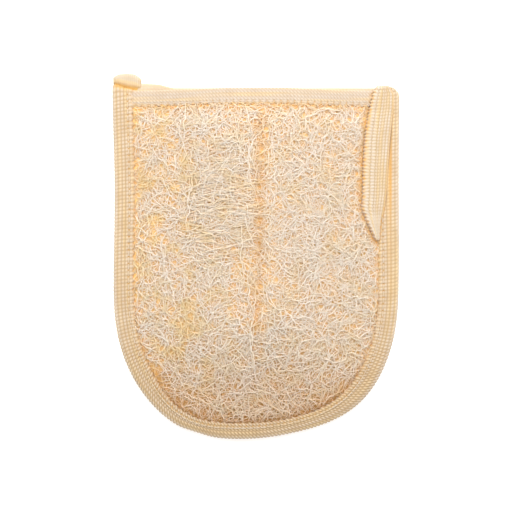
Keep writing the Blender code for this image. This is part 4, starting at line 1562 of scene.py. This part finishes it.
    def turned_end(self, tree: GrowthTree, material: Any) -> Any:
        """The end of the side tape, turned under past the left corner of the mouth."""
        left, right = self.end_left, self.end_right
        x = np.linspace(left, right, int((right - left) / self.step(self.end_weave)) + 1)
        place = np.abs((x - self.end_peak_x) / (7.5 * MM))
        top = self.end_top_y - 3.4 * MM * place**3.2
        start = self.form.crease_y(x)
        ends = 0.7 * ramp_up(x, -63.0 * MM, 3.1 * MM) ** 2 + 0.4 * ramp_down(x, -72.0 * MM, 2.0 * MM)
        radius = np.minimum(2.3 * MM, (top - start) * 0.45) * (1.0 - ends)
        peaks = self.end_high - 1.6 * MM * ends
        turn = np.linspace(0.0, math.pi, 15)
        rows = []
        for begin, end, size, peak in zip(start, top, radius, peaks):
            level = peak - size
            bow = np.stack([end - size + size * np.sin(turn), level + size * np.cos(turn)], 1)
            line = np.concatenate([
                [[begin - 1.2 * MM, peak - 1.3 * MM],
                 [begin + 0.1 * MM, peak - 0.4 * MM],
                 [begin + 1.2 * MM, peak]], bow, [[self.end_low_y, level - size]],
            ])
            steps = np.concatenate([
                [0.0], np.cumsum(np.linalg.norm(np.diff(line, axis=0), axis=1))])
            even = np.linspace(0.0, steps[-1], 34)
            rows.append([np.interp(even, steps, line[:, i]) for i in range(2)])
        side_view = np.array(rows)
        middle = np.stack([
            np.tile(x[:, None], (1, side_view.shape[2])), side_view[:, 0], side_view[:, 1]], axis=-1)
        across = np.linspace(0.0, 16.0 * MM, side_view.shape[2])
        # Painted shade in the crease along the turned end's start and at its two ends.
        crease = np.maximum(smooth(1.2 - across / (3.6 * MM))[None], 0.35 * ends[:, None])
        base = self.shell("smooth_end", middle, across, x - left, self.end_weave, self.thick,
                          crease=crease)
        return self.weave(tree, base, "woven_binding_end", material, self.end_weave)

    def stitch_tree(self) -> GrowthTree:
        """Tree that lays short stitches along a line."""
        tree = GrowthTree("stitch_row")
        pitch, length, radius, bow = tree.inputs({
            "Pitch": self.stitch_pitch, "Stitch Length": 2.7 * MM,
            "Thread Radius": 0.2 * MM, "Bow": 0.25 * MM,
        })
        material = tree.input("Material", kind="Material")
        line = tree.node("GeometryNodeMeshToCurve", {"Mesh": tree.given.outputs["Geometry"]})
        spots = tree.node("GeometryNodeCurveToPoints", {
            "Curve": line.outputs[0], "Length": pitch}, mode="LENGTH")
        half = tree.math("MULTIPLY", length, 0.5)
        sunk = tree.math("MULTIPLY", bow, -1.0)
        ends = [tree.xyz(Z=tree.math("MULTIPLY", half, way), X=sunk) for way in (-1.0, 1.0)]
        arc = tree.node("GeometryNodeCurveQuadraticBezier", {
            "Resolution": 5, "Start": ends[0], "Middle": tree.xyz(X=bow), "End": ends[1],
        }).outputs[0]
        up = tree.node("FunctionNodeAxesToRotation", {
            "Primary Axis": spots.outputs["Tangent"], "Secondary Axis": (0.0, 0.0, 1.0)},
            primary_axis="Z", secondary_axis="X").outputs[0]
        placed = tree.node("GeometryNodeInstanceOnPoints", {
            "Points": spots.outputs["Points"], "Instance": tree.tube(arc, 6, radius), "Rotation": up,
        }).outputs[0]
        kept = tree.node("GeometryNodeRealizeInstances", {"Geometry": placed}).outputs[0]
        x, y, _ = tree.split(tree.place())
        for name, value in (("along", x), ("across", y), ("valley", 0.0)):
            kept = tree.store(kept, name, value)
        tree.end(tree.soft(kept), material)
        return tree

    def stitch_lines(self) -> list[np.ndarray]:
        """Lines that the stitches follow: round the side tape and along both mouth tapes."""
        form = self.form
        side_seam, mouth_seam = self.side_weave.seam * MM, self.mouth_weave.seam * MM
        edge = form.outline(form.tape_end_y - 2 * MM, 1.0 * MM)
        along = unit(np.gradient(edge, axis=0))
        inward = np.stack([-along[:, 1], along[:, 0]], axis=1)
        line = edge + inward * (form.lap(edge[:, 1]) - side_seam)[:, None]
        reach = float(form.half_at(np.array(form.face_mouth_y))) - 12.0 * MM
        x = np.linspace(-reach, reach, 140)
        flat = np.ones(len(x))
        face_z = form.face_low(x, form.face_mouth_y * flat) + form.face_rim + 0.02 * MM
        return [
            *(np.column_stack([line, np.full(len(line), z)])
              for z in (form.rim_height + 0.62 * MM, 0.5 * MM)),
            *(np.column_stack([x, (mouth_y - form.mouth_leg + mouth_seam) * flat, z])
              for mouth_y, z in ((form.face_mouth_y, face_z), (form.back_mouth_y, 3.6 * MM * flat))),
        ]

    def stitches(self, material: Any) -> Any:
        """All the stitches as one piece."""
        points, edges, first = [], [], 0
        for line in self.stitch_lines():
            points.append(line)
            edges += [[first + i, first + i + 1] for i in range(len(line) - 1)]
            first += len(line)
        mesh = bpy.data.meshes.new("stitch_lines")
        mesh.from_pydata(np.concatenate(points).tolist(), edges, [])
        guide = bpy.data.objects.new("stitch_lines", mesh)
        bpy.context.scene.collection.objects.link(guide)
        return self.stitch_tree().grow(guide, "tape_stitches", {"Material": material})

    def build(self) -> None:
        """Builds every tape and the stitches."""
        cotton, strap = self.cotton.material(), self.strap_cotton.material()
        mouth, back = self.mouth_cotton.material(), self.back_cotton.material()
        tree = self.weave_tree()
        add_piece(self.side_binding(tree, cotton), ("side_binding",))
        add_piece(self.turned_end(tree, self.end_cotton.material()))
        add_piece(self.mouth_binding(tree, mouth, "woven_front_mouth_binding", True),
                  ("front_mouth_binding",))
        add_piece(self.mouth_binding(tree, back, "woven_back_mouth_binding", False),
                  ("back_mouth_binding",))
        add_piece(self.hanging_loop(tree, strap), ("hanging_loop",))
        add_piece(self.stitches(self.thread.material()))


@dataclass
class TerryBack:
    """The cotton terry back: its ground cloth and the loops on both sides."""

    form: MittForm
    cloth_low: float = 1.5 * MM
    cloth_top: float = 2.7 * MM
    loop_height: float = 1.05 * MM
    loop_width: float = 1.3 * MM
    yarn: float = 0.34 * MM
    under_count: int = 3400
    upper_count: int = 900
    cotton: TerryCotton = TerryCotton()

    def cloth_plan(self, spacing: float, columns: int) -> PanelPlan:
        """Plan of the ground cloth, out to the tapes' folds."""
        return PanelPlan(self.form, self.form.back_mouth_y - 1.8 * MM, 3.4 * MM, spacing, columns)

    def sheet(self, name: str, plan: PanelPlan, z: float, flip: bool = False) -> Any:
        """An open sheet over a plan, facing up or down."""
        x, y = plan.places()
        points = np.stack([x, y, np.full(x.shape, z)], axis=-1).reshape(-1, 3)
        faces = grid_faces(*x.shape)
        if flip:
            faces = [quad[::-1] for quad in faces]
        return new_object(name, points, faces, {})

    def cloth(self, material: Any) -> Any:
        """The closed ground cloth, out to the tapes' folds."""
        made = self.sheet("terry_back_cloth", self.cloth_plan(4 * MM, 16), self.cloth_top)
        face_outwards(made, WELD)
        shell = made.modifiers.new("thickness", "SOLIDIFY")
        shell.thickness = self.cloth_top - self.cloth_low
        shell.offset = -1.0
        graph = bpy.context.evaluated_depsgraph_get()
        solid = bpy.data.meshes.new_from_object(made.evaluated_get(graph))
        made.modifiers.clear()
        made.data = solid
        face_outwards(made)
        return wear(made, material)

    def loop_tree(self) -> GrowthTree:
        """Tree that stands small loops of yarn on a sheet."""
        tree = GrowthTree("terry_loops")
        density, height, width, yarn, seed = tree.inputs({
            "Density": 1.0, "Loop Height": self.loop_height, "Loop Width": self.loop_width,
            "Yarn Radius": self.yarn, "Seed": 1,
        })
        material = tree.input("Material", kind="Material")
        spread = tree.scattered(tree.given.outputs["Geometry"], density, seed)
        half = tree.math("MULTIPLY", width, 0.5)
        ends = [tree.xyz(X=tree.math("MULTIPLY", half, way)) for way in (-1.0, 1.0)]
        top = tree.math("MULTIPLY", height, 1.15)
        handles = [tree.xyz(X=tree.math("MULTIPLY", width, way), Z=top) for way in (-0.8, 0.8)]
        arch = tree.node("GeometryNodeCurvePrimitiveBezierSegment", {
            "Resolution": 5, "Start": ends[0], "Start Handle": handles[0],
            "End Handle": handles[1], "End": ends[1]}, mode="POSITION").outputs[0]
        turned = tree.node("FunctionNodeRotateRotation", {
            "Rotation": spread["Rotation"],
            "Rotate By": tree.xyz(Z=tree.random(0.0, math.tau, seed)),
        }, rotation_space="LOCAL").outputs[0]
        placed = tree.node("GeometryNodeInstanceOnPoints", {
            "Points": spread["Points"], "Instance": tree.tube(arch, 3, yarn), "Rotation": turned,
            "Scale": tree.random(0.8, 1.05, tree.math("ADD", seed, 1.0)),
        }).outputs[0]
        tree.end(tree.soft(placed), material)
        return tree

    def build(self) -> None:
        material = self.cotton.material()
        cloth = add_piece(self.cloth(material), ("back_cloth",))
        tree = self.loop_tree()
        plan = PanelPlan(self.form, self.form.back_mouth_y - 10.5 * MM, 13.0 * MM, 5 * MM, 14)
        for name, z, count, flip in (
            ("terry_loops_under", self.cloth_low, self.under_count, True),
            ("terry_loops_inside", self.cloth_top, self.upper_count, False),
        ):
            base = self.sheet("loop_ground", plan, z, flip)
            area = sum(face.area for face in base.data.polygons)
            made = tree.grow(base, name, {
                "Density": count / area, "Loop Height": self.loop_height,
                "Loop Width": self.loop_width, "Yarn Radius": self.yarn, "Seed": 7,
                "Material": material,
            })
            add_piece(made)
        self.cut_area()

    def cut_area(self) -> float:
        """Area of the cloth's cut, inside its outline."""
        x, y = (grid[:, 0] for grid in self.cloth_plan(2 * MM, 6).places())
        return float(abs(np.dot(x, np.roll(y, 1)) - np.dot(y, np.roll(x, 1))) / 2)


@dataclass
class Studio:
    """Floor, light and camera."""

    lens: float = 85.0
    sensor: float = 36.0
    view_width: float = 266.24 * MM
    view_level: float = 7.0 * MM
    floor_size: float = 4.0
    sky: float = 0.9
    key_power: float = 3.15
    key_place: tuple[float, float, float] = (0.02, 0.33, 0.45)
    key_size: float = 0.5

    def floor(self) -> None:
        """A wide white floor under the mitt."""
        half = self.floor_size / 2
        corners = np.array([[-half, -half, 0], [half, -half, 0], [half, half, 0], [-half, half, 0]])
        made = wear(new_object("floor", corners, [[0, 1, 2, 3]], {}), StudioFloor().material())

    def camera(self) -> None:
        """The camera, straight above the mitt with the mouth at the picture's top."""
        data = bpy.data.cameras.new("camera")
        data.lens, data.sensor_width = self.lens, self.sensor
        made = bpy.data.objects.new("camera", data)
        away = self.view_width * self.lens / self.sensor
        made.location = (0.0, 0.0, self.view_level + away)
        bpy.context.scene.collection.objects.link(made)
        bpy.context.scene.camera = made

    def lights(self) -> None:
        """Soft light from the sky and a broad key light from past the mouth."""
        world = bpy.data.worlds.new("studio")
        world.use_nodes = True
        sky = world.node_tree.nodes["Background"]
        sky.inputs["Color"].default_value = (1.0, 1.0, 1.0, 1.0)
        sky.inputs["Strength"].default_value = self.sky
        bpy.context.scene.world = world
        data = bpy.data.lights.new("key", "AREA")
        data.energy, data.size = self.key_power, self.key_size
        made = bpy.data.objects.new("key", data)
        made.location = self.key_place
        made.rotation_euler = Vector(self.key_place).to_track_quat("Z", "Y").to_euler()
        bpy.context.scene.collection.objects.link(made)

    def build(self) -> None:
        """Sets up the studio."""
        bpy.context.scene.view_settings.view_transform = "Standard"
        self.floor()
        self.camera()
        self.lights()


def main() -> None:
    """Builds the studio and the mitt, in order."""
    logging.basicConfig(level=logging.INFO, format="%(message)s")
    form = MittForm()
    Studio().build()
    LoofahFace(form).build()
    WovenTapes(form).build()
    TerryBack(form).build()


if __name__ == "__main__":
    main()
